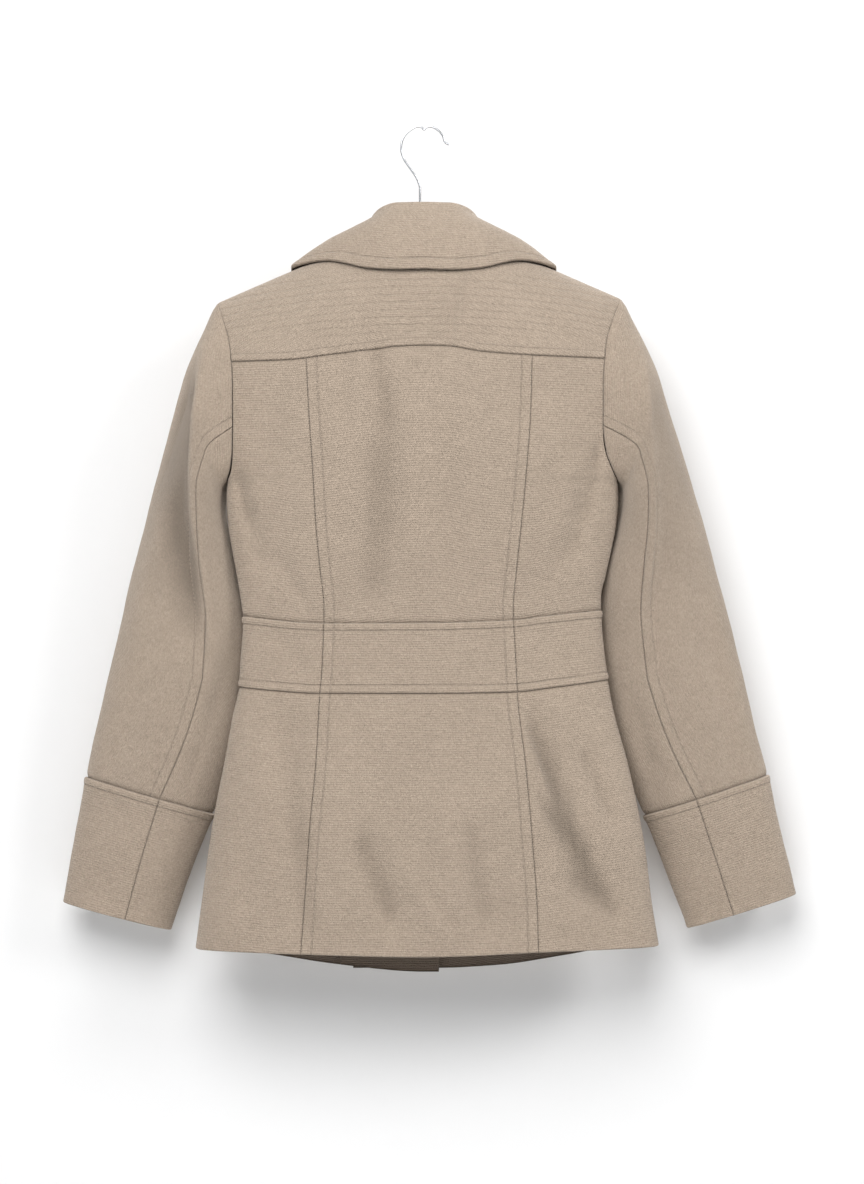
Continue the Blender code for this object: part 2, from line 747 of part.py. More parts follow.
def build_fronts(wool):
    gaps = (ARMHOLE_GAP / 2, 0.0, SHOULDER_GAP / 2, 0.0)
    for side, edge, lift in (("left", front_edge_left, None), ("right", front_edge_right, lap_lift)):
        hem = CROSS_SEAM[f"{side}_front_hem"]
        surface = panel(-1, side_edge(side, -1), seam_edge(edge, -1), None, hem, lift)
        rows, rims = armhole_rows(side, -1, None, hem, 13)
        columns = np.linspace(0, 1, 13)
        cloth(f"front_{side}", surface, columns, rows, away_from_body, gaps, wool, rims={"first": rims})


def build_sleeves(wool):
    under_end = 2 * UNDER_COLUMNS
    upper_end = under_end + 2 * UPPER_COLUMNS
    half_gap = SEAM_GAP / 2
    for side in ("left", "right"):
        point = sleeve(side)
        middle = lambda points: points - points.reshape(-1, 3).mean(axis=0)

        def outward(points, side=side):
            rings = np.array([[row[0] + row[2], 2 * row[4], row[1] + row[3]] for row in SLEEVE_RINGS[side]]) / 2
            gap = points[..., None, :] - rings
            nearest = np.square(gap).sum(-1).argmin(-1)
            return np.take_along_axis(gap, nearest[..., None, None], axis=-2)[..., 0, :]

        for part, first, last in (("under", 0, under_end), ("upper", under_end, upper_end)):
            columns = np.arange(first, last + 1)
            rims = armhole_rim(side, sleeve_angle(columns, np.zeros(len(columns))))
            u, v = np.meshgrid(columns.astype(float), np.linspace(0, CUFF_RING, 14), indexing="ij")
            normals = normals_of(point, u, v, outward)
            normals[:, 0] = rims
            face = trim_edges(point(u, v), (half_gap, half_gap, ARMHOLE_GAP / 2, half_gap))
            make_wall(f"sleeve_{part}_{side}", face, face - WALL * normals, wool)
            cuff_rows = np.linspace(CUFF_RING, LAST_RING, 4)
            cloth(f"cuff_{part}_{side}", point, columns, cuff_rows, outward, (half_gap, half_gap, half_gap, 0), wool)


def over_shoulder(x, turn):
    """The body's outer face where it rolls over the shoulder: turn is below zero in the front."""
    x, turn = np.broadcast_arrays(np.asarray(x, float), np.asarray(turn, float))
    z = shoulder(x) - drop_of(turn)
    back, front = body_y(x, z, 1, turn), body_y(x, z, -1, turn)
    return np.stack([x, np.where(turn >= 0, back, front), z], -1)


def over_shoulder_normal(x, turn):
    step = 1e-3
    across = over_shoulder(x + step, turn) - over_shoulder(x - step, turn)
    down = over_shoulder(x, turn + step) - over_shoulder(x, turn - step)
    normal = np.cross(across, down)
    normal /= np.linalg.norm(normal, axis=-1, keepdims=True)
    return normal * np.sign(normal[..., 2:] + 1e-9)


def neck_line(station):
    """The neckline from the middle of the back (0) to the lapel (1), left side."""
    side, reach = np.where(station < 0, -1.0, 1.0), np.clip(np.abs(station), 0, 1)
    x = COLLAR["neck_x"](reach)
    turn = np.radians(np.where(reach < 0.5, NECK_TURNS(x), COLLAR["front_turn"](reach)))
    for _ in range(8):
        x = np.where(reach < 0.5, x, front_edge_left(shoulder(x) - drop_of(turn)))
    return over_shoulder(side * x, turn), over_shoulder_normal(side * x, turn)


def fold_line(station):
    side, reach = np.where(station < 0, -1.0, 1.0), np.clip(np.abs(station), 0, 1)
    return np.stack([side * COLLAR["roll_x"](reach), COLLAR["roll_y"](reach), COLLAR["roll_z"](reach)], -1)


def into_neck(line, station):
    """Level unit vector across a line of the left half, towards the inside of the neck."""
    along = line(station + 0.04) - line(station - 0.04)
    inward = np.stack([along[..., 1], -along[..., 0], 0 * along[..., 0]], -1)
    return inward / np.linalg.norm(inward, axis=-1, keepdims=True)


def collar(station, across):
    """The collar's visible face: up the inside of the stand, over the fold and down the fall.

    station runs from -1, the right front end, to 1, the left one.
    """
    s = np.abs(station)
    up = np.array([0.0, 0.0, 1.0])
    (neck, neck_normal), fold = neck_line(s), fold_line(s)
    neck_in = into_neck(lambda t: neck_line(t)[0], s)
    fold_way = into_neck(fold_line, s)
    lean = np.clip(-(neck_normal * neck_in).sum(-1, keepdims=True), 0, 1)
    foot = neck + neck_in * (WALL * (1 + lean) + COLLAR_GAP) - 2.0 * up
    height = (fold - foot)[..., 2:]
    dip = np.minimum(5.0, 0.45 * height)
    fold_in = fold + fold_way * FOLD_HALF_WIDTH - dip * up
    fold_out = fold - fold_way * FOLD_HALF_WIDTH - dip * up
    riser = (foot + fold_in) / 2 + fold_way * 0.5
    edge_x, edge_turn = COLLAR["edge_x"](s), np.radians(COLLAR["edge_turn"](s))
    edge_normal = over_shoulder_normal(edge_x, edge_turn)
    edge = over_shoulder(edge_x, edge_turn) + edge_normal * COLLAR["lift"](s)[..., None]
    belly = (fold_out + edge) / 2 + COLLAR_BULGE * (edge_normal + 0.4 * up - 0.4 * fold_way)
    path = np.stack([foot, riser, fold_in, fold, fold_out, belly, edge])
    path[..., 0] *= np.where(station >= 0, 1.0, -1.0)
    return smooth_through(COLLAR_KNOTS, path, across)


def build_collar(wool):
    stations = np.linspace(-1, 1, 27)
    across = (0.0, 0.2, 0.32, 0.38, 0.42, 0.46, 0.53, 0.65, 0.77, 0.89, 1.0)
    upwards = lambda points: np.array([0.0, 0.0, 1.0]) + 0 * points
    cloth("collar", collar, stations, across, upwards, (0, 0, 0, 0), wool)


def lapel(side):
    """A lapel's place on the front it lies on: along its roll line, and out from it."""
    shape = {name: np.array(corner, float) for name, corner in LAPELS[side].items()}
    lift = lap_lift if side == "right" else (lambda x, z: 0.0)

    def point(along, out):
        along, out = along[..., None], out[..., None]
        top, bottom = shape["roll"]
        roll = top + along * (bottom - top)
        edge = shape["tip"] + along * (shape["foot"] - shape["tip"])
        away = np.array([edge[..., 1] * 0 + (1.0 if side == "left" else -1.0), edge[..., 1] * 0 - 0.55])
        edge = edge + np.moveaxis(away, 0, -1) * LAPEL_BELLY * 4 * along * (1 - along) * (0.5 if side == "left" else 1)
        flat = roll + out * (edge - roll)
        halfway = top + 0.5 * (shape["tip"] - top)
        notch = (shape["notch"] - halfway) * (1 - np.abs(2 * out - 1)) * (1 - along) ** 3
        x, z = np.moveaxis(flat + notch, -1, 0)
        y = body_y(x, z, -1, turn_of(np.maximum(shoulder(x) - z, 0))) - lift(x, z)
        return np.stack([x, y, z], -1)

    return point


def build_lapels(wool):
    for side, rows in (("right", 13), ("left", 8)):
        raised = WALL + LAPEL_GAP
        cloth(
            f"lapel_{side}",
            lapel(side),
            np.linspace(0, 1, rows),
            np.linspace(0, 1, 7),
            away_from_body,
            (0, 0, 0, 0),
            wool,
            raised=raised,
        )


def build_facing(wool):
    """The left front's facing, on its inside from the break line down to the hem."""
    inner_edge = lambda height: UNDER_EDGE + FACING_WIDTH + 0 * height
    top = lambda x: FACING_TOP + 0 * x
    surface = panel(-1, seam_edge(inner_edge, -1), seam_edge(front_edge_left, -1), top, CROSS_SEAM["left_front_hem"])
    raised = -(WALL + FACING_GAP)
    columns, rows = np.linspace(0, 1, 7), np.linspace(0, 1, 20)
    cloth("facing_left", surface, columns, rows, away_from_body, (0, 0, 0, 0), wool, wall=FACING_WALL, raised=raised)


def turned(name, profile, base, axis, sides, material):
    """A solid turned round an axis from a profile of (radius, height) points."""
    axis = axis / np.linalg.norm(axis)
    first = np.cross(axis, [0.0, 0.0, 1.0])
    first /= np.linalg.norm(first)
    second = np.cross(axis, first)
    points = [base + axis * profile[0][1], base + axis * profile[-1][1]]
    for radius, height in profile:
        for k in range(sides):
            angle = 2 * math.pi * k / sides
            points.append(base + axis * height + radius * (first * math.cos(angle) + second * math.sin(angle)))
    faces = []
    ring = lambda row, k: 2 + row * sides + k % sides
    for k in range(sides):
        faces.append((0, ring(0, k + 1), ring(0, k)))
        faces.append((1, ring(len(profile) - 1, k), ring(len(profile) - 1, k + 1)))
        for row in range(len(profile) - 1):
            faces.append((ring(row, k), ring(row, k + 1), ring(row + 1, k + 1), ring(row + 1, k)))
    return make_object(name, points, faces, material)


def build_buttons(horn):
    depth = lambda x, z: float(body_y(x, z, -1, math.pi / 2) - lap_lift(x, z))
    reach = 8.0
    for name, x, z, sink in BUTTONS:
        across = np.array([2 * reach, depth(x + reach, z) - depth(x - reach, z), 0.0])
        down = np.array([0.0, depth(x, z + reach) - depth(x, z - reach), 2 * reach])
        axis = np.cross(across, down)
        base = np.array([x, depth(x, z) + sink, z])
        turned(f"button_{name}", BUTTON_PROFILE, base, axis * -np.sign(axis[1]), 14, horn)


def build_hook(chrome):
    """The wire hook, with the small dip at its top that keeps it in the middle of a rail."""
    route = np.array([(x, 0.0, z) for x, z in HOOK_ROUTE])
    lengths = np.concatenate([[0], np.cumsum(np.linalg.norm(np.diff(route, axis=0), axis=1))])
    along = np.concatenate([lengths[:2], np.linspace(lengths[2], lengths[-1], 48)])
    points = smooth_through(lengths, route[:, None], along) * MM
    curve = bpy.data.curves.new("hanger_hook", "CURVE")
    curve.dimensions = "3D"
    curve.bevel_depth = HOOK_RADIUS * MM
    curve.bevel_resolution = 2
    curve.use_fill_caps = True
    spline = curve.splines.new("POLY")
    spline.points.add(len(points) - 1)
    for place, point in zip(spline.points, points):
        place.co = (*point, 1)
    curve.materials.append(chrome)
    bpy.context.collection.objects.link(bpy.data.objects.new("hanger_hook", curve))


def build_bar(beech):
    """The hanger's bar: its ends carry the shoulders, and it dips clear of the collar."""
    reach = lambda x: np.sqrt(np.square(x) + BAR_ROUNDING**2)
    slope = math.atan(SHOULDER_SLOPE)
    top = float(shoulder(BAR_CONTACT)) - (WALL + BAR_GAP) / math.cos(slope)
    middle = lambda x: top - BAR_HALF_HEIGHT - SHOULDER_SLOPE * (reach(x) - reach(BAR_CONTACT))
    sides, stations = 10, 22
    xs = np.linspace(*BAR_ENDS, stations)
    share = np.minimum(xs - BAR_ENDS[0], BAR_ENDS[1] - xs) / 14.0
    size = 0.55 + 0.45 * np.sqrt(np.clip(share * (2 - np.minimum(share, 1)), 0, 1))
    points = []
    for x, scale in zip(xs, size):
        for k in range(sides):
            angle = 2 * math.pi * k / sides
            y, z = BAR_HALF_WIDTH * math.sin(angle), BAR_HALF_HEIGHT * (math.cos(angle) - 1)
            points.append((x, y * scale, float(middle(x)) + BAR_HALF_HEIGHT + z * scale))
    faces = [tuple(range(sides)), tuple(range(len(points) - 1, len(points) - sides - 1, -1))]
    for i in range(stations - 1):
        for k in range(sides):
            a, b = i * sides + k, i * sides + (k + 1) % sides
            faces.append((b, a, a + sides, b + sides))
    make_object("hanger_bar", points, faces, beech)


def main():
    clear_scene()
    wool = make_material("wool", WOOL, 0.95)
    build_back(wool)
    build_yoke(wool)
    build_fronts(wool)
    build_facing(wool)
    build_lapels(wool)
    build_collar(wool)
    build_sleeves(wool)
    build_buttons(make_material("horn", HORN, 0.35))
    build_hook(make_material("chrome", CHROME, 0.15, metallic=1.0))
    build_bar(make_material("beech", BEECH, 0.5))


main()
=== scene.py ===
import math
import re

import bpy
import numpy as np
from mathutils import Matrix, Vector


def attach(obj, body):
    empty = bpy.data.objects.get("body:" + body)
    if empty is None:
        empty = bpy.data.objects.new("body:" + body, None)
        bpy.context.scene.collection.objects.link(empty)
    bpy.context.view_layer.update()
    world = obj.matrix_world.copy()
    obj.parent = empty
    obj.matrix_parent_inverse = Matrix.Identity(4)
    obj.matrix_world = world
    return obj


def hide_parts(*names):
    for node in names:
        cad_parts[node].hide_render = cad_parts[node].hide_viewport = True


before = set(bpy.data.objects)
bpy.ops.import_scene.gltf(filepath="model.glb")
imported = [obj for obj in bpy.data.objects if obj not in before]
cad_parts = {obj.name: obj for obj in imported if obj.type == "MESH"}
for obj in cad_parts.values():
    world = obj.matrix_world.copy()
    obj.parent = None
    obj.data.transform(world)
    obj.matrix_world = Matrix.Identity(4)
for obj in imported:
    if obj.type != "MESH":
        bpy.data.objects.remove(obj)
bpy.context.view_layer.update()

# The coat's cut, in millimetres: +Z up, the wearer's left at +X, the back at +Y, the hook's inner top at 0
bodyCut = {
    "neckHalfWidth": 62.0,
    "neckSide": 61,
    "neckPointHeight": -110.7,
    "shoulderSlope": 0.44,
    "shoulderRounding": 30.0,
    "shoulderRoll": 90.0,
    "shoulderTipLeft": 205.0,
    "shoulderTipRight": -196.0,
    "armpitHeight": -350.0,
    "backSquareness": 2.6,  # 2 is an ellipse
    "frontSquareness": 2.4,
}
frontCut = {
    "underEdge": -15.0,
    "overEdge": 72.0,
    "breakHeight": -335.0,
    "rollLineTop": (60.0, -112.0),
    "lapStart": -78.0,
    "lapFull": -42.0,
}
clothMake = {
    "wall": 2.6,
    "layerGap": 1.0,
    "seamGap": 0.12,  # half the space left between two sewn edges
    "step": 5.0,  # mesh size away from the seams
    "stitchPitch": 4.3,
    "stitchLength": 3.1,
    "stitchRadius": 0.36,
}
sleeveCut = {
    "sleeveSquareness": 2.2,
    "cuffRing": 9,
    "lastRing": 11,
    "armholeBackSeam": 66.0,
    "frontSeam": -60.0,
    "underColumns": 4,
    "upperColumns": 8,
}
collarCut = {
    "foldHalfWidth": 4.2,
    "collarGap": 1.7,
    "collarBulge": 3.0,
    "collarKnots": (0.0, 0.2, 0.34, 0.42, 0.5, 0.75, 1.0),
}


class Curve:  # a smooth curve through a table that does not overshoot
    def __init__(self, at, values):
        order = np.argsort(at)
        self.at = np.array(at, float)[order]
        self.values = np.array(values, float)[order]
        rise = np.diff(self.values) / np.diff(self.at)
        before, after = rise[:-1], rise[1:]
        even = np.where(before * after > 0, 2 * before * after / (before + after + 1e-12), 0)
        self.slopes = np.concatenate([rise[:1], even, rise[-1:]])

    def __call__(self, x):
        x = np.asarray(x, float)
        held = np.clip(x, self.at[0], self.at[-1])
        i = np.clip(np.searchsorted(self.at, held) - 1, 0, len(self.at) - 2)
        span = self.at[i + 1] - self.at[i]
        t = (held - self.at[i]) / span
        start, end = self.values[i], self.values[i + 1]
        leanIn, leanOut = self.slopes[i] * span, self.slopes[i + 1] * span
        inside = (
            start * (1 + 2 * t) * (1 - t) ** 2
            + leanIn * t * (1 - t) ** 2
            + end * t * t * (3 - 2 * t)
            + leanOut * t * t * (t - 1)
        )
        past = np.where(x < self.at[0], self.slopes[0], self.slopes[-1]) * (x - held)
        return inside + past


def table(columns, rows):
    names = columns.split()
    cells = np.array(rows, float)
    return {name: Curve(cells[:, 0], cells[:, i]) for i, name in enumerate(names) if i}


# The body's outer face, by height: half widths to each side of x = 0, the depth of the back and
# of the front, and how far behind y = 0 the side seams lie.
body = table(
    "height left right back front side",
    [
        (-77, 246, 236, 30, 32, 0),
        (-150, 232, 221, 42, 42, 0),
        (-200, 222, 211, 50, 50, 1),
        (-250, 213, 202, 55, 58, 4),
        (-300, 205, 196, 56, 63, 7),
        (-350, 196, 193, 55, 64, 10),
        (-366, 197, 194, 54, 63, 11),
        (-395, 195, 191.5, 51, 60, 12),
        (-418, 191.5, 187, 49, 57, 12),
        (-445, 186.5, 181, 46, 54, 12),
        (-466, 183, 176.5, 44, 51, 12),
        (-490, 180.4, 177.2, 42, 49, 12),
        (-535, 183.3, 181.6, 42, 48, 12),
        (-556, 184.5, 184.7, 43, 49, 12),
        (-583, 190.5, 190, 46, 51, 12),
        (-625, 198, 201.5, 51, 54, 12),
        (-670, 207, 212, 55, 57, 12),
        (-720, 215, 221, 58, 59, 12),
        (-770, 221.5, 227, 60, 60, 12),
        (-816, 227.5, 234.5, 61, 61, 12),
        (-850, 231, 239, 61, 61, 12),
    ],
)

# Each armhole's distance from x = 0, by height, in the back and in the front
armhole = table(
    "height backLeft backRight frontLeft frontRight",
    [
        (-168, 206.5, 196.5, 206.5, 196.5),
        (-176, 205, 193.5, 205, 193.5),
        (-184, 202.3, 190, 200.5, 188),
        (-194, 199, 186.5, 195, 183),
        (-209, 194.5, 182, 189, 177.5),
        (-229, 191.5, 179.5, 184, 173.5),
        (-255, 190, 178, 181, 171),
        (-295, 190, 178, 180.5, 170.5),
        (-323, 190.5, 181.5, 183, 174.5),
        (-340, 193, 188, 189, 183.5),
        (-350, 196, 193, 196, 193),
    ],
)

# Seams of the back, as distances from x = 0
princess = table(
    "height left right",
    [
        (-228, 116.5, -107),
        (-283, 113.5, -105.5),
        (-345, 109.5, -101),
        (-397, 106.5, -96),
        (-441, 102.5, -91.5),
        (-476, 99, -88.5),
        (-538, 101, -91.5),
        (-561, 103, -92.5),
        (-631, 107, -100.5),
        (-705, 114.5, -107),
        (-778, 119.5, -112),
        (-820, 121.5, -113),
    ],
)


def heights(*rows):  # a line across the coat, as heights by x
    return table("x height", rows)["height"]


crossSeam = {
    "yoke": heights(
        (-200, -230), (-179, -229), (-108, -226.5), (-58, -223), (-23, -217.5), (0, -217),
        (27, -218), (52, -221), (93, -226), (135, -231), (190, -232), (210, -232),
    ),
    "bandTop": heights((-190, -478), (-120, -485), (-90, -488.7), (0, -491.7), (100, -492), (190, -484.5)),
    "bandBottom": heights(
        (-190, -547), (-131, -555), (-83, -560), (0, -561), (104, -561), (154, -558), (190, -554.5)
    ),
    "backHem": heights((-236, -813), (-116, -816.5), (0, -821), (124, -818.5), (229, -816)),
    "leftFrontHem": heights((-20, -846), (0, -846), (85, -838.5), (152, -827.5), (200, -819), (229, -816.5)),
    "rightFrontHem": heights(
        (-236, -813.5), (-205, -816), (-144, -828), (-76, -839), (-18, -842.5), (75, -842.5)
    ),
}

# Soft folds: each runs from (x1, z1) to (x2, z2). A depth below zero is a trough.
backFolds = [
    ("upperBack", 46, -235, 38, -440, 17, -3.0),
    ("leftBlade", 152, -232, 158, -330, 22, -3.2),
    ("rightBlade", -60, -240, -52, -420, 26, 2.2),
    ("leftArmpit", 182, -350, 168, -410, 9, -3.0),
    ("rightArmpit", -168, -325, -152, -400, 9, -3.2),
    ("rightSkirtUpper", -112, -580, -176, -690, 17, -6.0),
    ("rightSkirtLower", -126, -705, -186, -785, 15, -4.5),
    ("rightSkirtSwell", -150, -640, -200, -740, 18, 3.0),
    ("leftSkirt", 138, -570, 134, -790, 19, -5.0),
    ("leftSkirtSwell", 178, -640, 186, -800, 22, 3.0),
    ("middleSkirt", 58, -700, 32, -800, 17, -3.6),
    ("middleSwell", -20, -660, -40, -815, 34, 3.0),
]
frontFolds = [
    ("leftBust", 150, -330, 128, -470, 20, -3.2),
    ("rightBust", -146, -330, -120, -480, 22, -3.4),
    ("leftHip", 118, -560, 152, -760, 20, -5.0),
    ("rightHip", -112, -570, -158, -770, 21, -5.2),
    ("leftHemSwell", 180, -640, 190, -810, 20, 2.6),
    ("rightHemSwell", -176, -660, -190, -800, 22, 2.8),
]

# Rings down each sleeve, below its armhole: the ends of the ring on the side away from the body
# and on the side next to it, the ring's middle in y, its half depths, and where the back seam is.
ringColumns = "outerX outerZ innerX innerZ middle back front backSeam".split()
sleeveRings = {
    "left": [
        (234, -231, 200, -357, 3, 41, 43, 72),
        (247, -269, 200.5, -367, -2, 46, 47, 78),
        (259, -309, 199, -385, -6, 49, 50, 83),
        (273.5, -365, 193, -411, -11, 48, 50, 79),
        (287, -419, 186, -446, -15, 45, 47, 75),
        (300, -469, 177.5, -492, -17, 40, 41, 70),
        (313, -529, 180, -558, -20, 34, 36, 68),
        (327, -589, 190, -622, -23, 31, 33, 74),
        (340, -647, 212, -684, -28, 28, 29, 80),
        (352, -709, 234.5, -740, -33, 25, 26, 80),
        (364, -774, 256, -802, -38, 23, 24, 80),
    ],
    "right": [
        (-229, -231, -197.5, -357, 3, 41, 43, 72),
        (-243, -269, -197.5, -367, -2, 46, 47, 78),
        (-256, -309, -195, -385, -6, 49, 50, 83),
        (-273, -365, -188, -411, -11, 48, 50, 79),
        (-288, -419, -178, -446, -14, 45, 47, 75),
        (-301.5, -469, -174.5, -492, -17, 40, 41, 70),
        (-317, -529, -181, -558, -20, 34, 36, 68),
        (-331, -589, -195, -622, -23, 31, 33, 74),
        (-346, -645, -221, -686, -28, 28, 29, 80),
        (-360, -706, -244, -742, -33, 25, 26, 80),
        (-375, -766, -266, -800, -38, 23, 24, 80),
    ],
}

# The collar, from the middle of the back (0) to its front end (1): the neck seam, the top of the
# stand and the outer edge. Turns are in degrees over the shoulder line, to the back above zero.
neckTurns = table("x turn", [(0, 39), (26, 34), (48, 20.5), (61, 0.02)])["turn"]
collarTable = table(
    "station neckX frontTurn rollX rollY rollZ edgeX edgeTurn lift",
    [
        (0.0, 0, 0, 0, 19, -72, 0, 63.0, 6.2),
        (0.05, 6.5, 0, 6.3, 18.9, -72, 13, 62.4, 6.2),
        (0.2, 26, 0, 25, 17.5, -72.3, 52, 52.5, 6.0),
        (0.38, 48, 0, 43, 10, -77, 98, 24.5, 5.0),
        (0.5, 61, 0, 52, -1, -86, 131, 2, 4.2),
        (0.65, 61, -20, 54, -16, -99, 132, -20, 4.2),
        (0.8, 61, -33, 51, -28, -115, 129, -33, 5.0),
        (1.0, 61, -43.5, 46, -37, -130, 125, -41, 6.5),
    ],
)

# Lapels, as corners in x and z: the roll line's ends, the notch, the tip and the lower end of the
# outer edge. The left one ends where the right front covers it.
lapelCut = {
    "belly": {"left": 3.5, "right": 7.0},  # how far the outer edge swells
    "swellWay": {"left": (1.0, -0.55), "right": (-1.0, -0.55)},
    "right": {
        "roll": ((-47, -137), (65, -326)),
        "notch": (-86, -152.5),
        "tip": (-128, -187),
        "foot": (69, -334),
    },
    "left": {
        "roll": ((47, -137), (2.5, -212)),
        "notch": (86, -152.5),
        "tip": (128, -187),
        "foot": (31, -259),
    },
}


def shoulder(x):
    reach = np.sqrt(np.square(x) + bodyCut["shoulderRounding"] ** 2)
    neckReach = math.hypot(bodyCut["neckHalfWidth"], bodyCut["shoulderRounding"])
    return bodyCut["neckPointHeight"] - bodyCut["shoulderSlope"] * (reach - neckReach)


def dropOf(turn):
    rolled = np.clip(np.abs(turn), 0, math.pi / 2)
    return bodyCut["shoulderRoll"] * (1 - np.cos(rolled) + np.abs(turn) - rolled)


def turnOf(drop):
    share = np.clip(drop / bodyCut["shoulderRoll"], 0, None)
    return np.where(share < 1, np.arccos(1 - np.clip(share, 0, 1)), math.pi / 2 + share - 1)


def squareness(face):
    return bodyCut["backSquareness"] if face > 0 else bodyCut["frontSquareness"]


def ovalReach(angle, power):
    return (np.abs(np.cos(angle)) ** power + np.abs(np.sin(angle)) ** power) ** (1 / power)


def sectionReach(angle, face):
    return ovalReach(angle, squareness(face))


def halfWidth(x, height):
    return np.where(np.asarray(x) >= 0, body["left"](height), body["right"](height))


def angleOf(x, height, face):
    share = np.clip(np.abs(x) / halfWidth(x, height), 1e-9, 1)
    power = squareness(face)
    angle = np.arctan((share**-power - 1) ** (1 / power))
    return np.where(np.asarray(x) >= 0, angle, math.pi - angle)


def bodyX(angle, height, face):
    side = np.cos(angle)
    return halfWidth(side, height) * side / sectionReach(angle, face)


def foldRise(folds, x, z):
    rise = np.zeros_like(np.asarray(x, float) + z)
    for _, x1, z1, x2, z2, width, depth in folds:
        length = math.hypot(x2 - x1, z2 - z1)
        along = ((x - x1) * (x2 - x1) + (z - z1) * (z2 - z1)) / length**2
        across = ((x - x1) * (z2 - z1) - (z - z1) * (x2 - x1)) / length
        beyond = np.clip(np.abs(along - 0.5) - 0.3, 0, None) / 0.3
        rise = rise + depth * np.exp(-((across / width) ** 2) - 2 * beyond**2)
    return rise


def bodyY(x, z, face, turn):
    angle = angleOf(x, z, face)
    fullness = np.sin(angle) / sectionReach(angle, face)
    side = body["side"](z)
    depth = body["back"](z) - side if face > 0 else body["front"](z) + side
    folds = backFolds if face > 0 else frontFolds
    fade = np.clip(fullness, 0, 1) ** 2
    rolled = np.sin(np.clip(np.abs(turn), 0, math.pi / 2))
    return side + face * (depth * fullness * rolled + fade * rolled * foldRise(folds, x, z))


def lapLift(x, z):
    rampWidth = frontCut["lapFull"] - frontCut["lapStart"]
    t = np.clip((np.asarray(x) - frontCut["lapStart"]) / rampWidth, 0, 1)
    return (clothMake["wall"] + clothMake["layerGap"]) * t * t * (3 - 2 * t)


panelFit = {
    "rounds": 24,  # height and place depend on each other, so they are worked out in turns
    "startHeight": -300.0,
    "easedOver": range(-60, 61, 15),  # away from the armhole a front's columns run straighter
    "easing": 6,
}


def panel(face, first, last, top, bottom, lift=None):
    def point(u, v):
        x = np.zeros_like(u)
        z = np.full_like(u, panelFit["startHeight"])
        turn = np.zeros_like(u)
        for _ in range(panelFit["rounds"]):
            start = first(z)
            if face < 0:
                mean = sum(first(z + step) for step in panelFit["easedOver"]) / len(panelFit["easedOver"])
                start = mean + (start - mean) * (1 - u) ** panelFit["easing"]
            angle = (1 - u) * start + u * last(z)
            x = bodyX(angle, z, face)
            upper = 0.0 if top is None else turnOf(shoulder(x) - top(x))
            lower = turnOf(shoulder(x) - bottom(x))
            turn = (1 - v) * upper + v * lower
            z = shoulder(x) - dropOf(turn)
        y = bodyY(x, z, face, turn)
        if lift is not None:
            y = y + face * lift(x, z)
        return np.stack([x, y, z], -1)

    return point


def armholeX(side, face, height):
    name = ("back" if face > 0 else "front") + side.capitalize()
    reach = np.minimum(armhole[name](height), body[side](height))
    return reach if side == "left" else -reach


def sideEdge(side, face):
    def edge(height):
        seam = 0.0 if side == "left" else math.pi
        held = np.maximum(height, bodyCut["armpitHeight"])
        cut = angleOf(armholeX(side, face, held), held, face)
        return np.where(height > bodyCut["armpitHeight"], cut, seam)

    return edge


def seamEdge(reach, face):
    return lambda height: angleOf(reach(height), height, face)


def shoulderTip(side):  # its height
    x = bodyCut["shoulderTipLeft"] if side == "left" else bodyCut["shoulderTipRight"]
    for _ in range(12):
        x = float(armholeX(side, 1, float(shoulder(x))))
    return float(shoulder(x))


def armholePoint(side, phi):
    phi = np.asarray(phi, float) % (2 * math.pi)
    lowest = bodyCut["armpitHeight"]
    z = lowest + (shoulderTip(side) - lowest) * (1 - np.cos(phi)) / 2
    faces = []
    for face in (1, -1):
        x = armholeX(side, face, z)
        turn = turnOf(np.maximum(shoulder(x) - z, 0))
        faces.append(np.stack([x, bodyY(x, z, face, turn), z], -1))
    return np.where((phi <= math.pi)[..., None], faces[0], faces[1])


def ringPoint(side, ring, phi):
    cells = dict(zip(ringColumns, sleeveRings[side][ring - 1]))
    outer = np.array([cells["outerX"], cells["middle"], cells["outerZ"]])
    inner = np.array([cells["innerX"], cells["middle"], cells["innerZ"]])
    reach = ovalReach(phi, sleeveCut["sleeveSquareness"])
    across = (np.cos(phi) / reach)[..., None] * (inner - outer) / 2
    deep = np.where(np.sin(phi) > 0, cells["back"], cells["front"]) * np.sin(phi) / reach
    return (inner + outer) / 2 + across + deep[..., None] * np.array([0.0, 1.0, 0.0])


def sleeveAngle(column, ring):
    seams = [sleeveCut["armholeBackSeam"]] + [row[-1] for row in sleeveRings["left"]]
    backSeam = np.interp(ring, range(len(seams)), seams)
    under, over = sleeveCut["underColumns"], sleeveCut["upperColumns"]
    steps = np.cumsum([0, under, under, over, over])
    c = np.asarray(column, float)
    first = sleeveCut["frontSeam"] - sleeveCut["frontSeam"] * c / under
    second = backSeam * (c - steps[1]) / under
    third = backSeam + (180 - backSeam) * (c - steps[2]) / over
    fourth = 180 + (180 + sleeveCut["frontSeam"]) * (c - steps[3]) / over
    underAngle = np.where(c <= steps[1], first, second)
    overAngle = np.where(c <= steps[3], third, fourth)
    return np.radians(np.where(c <= steps[2], underAngle, overAngle))


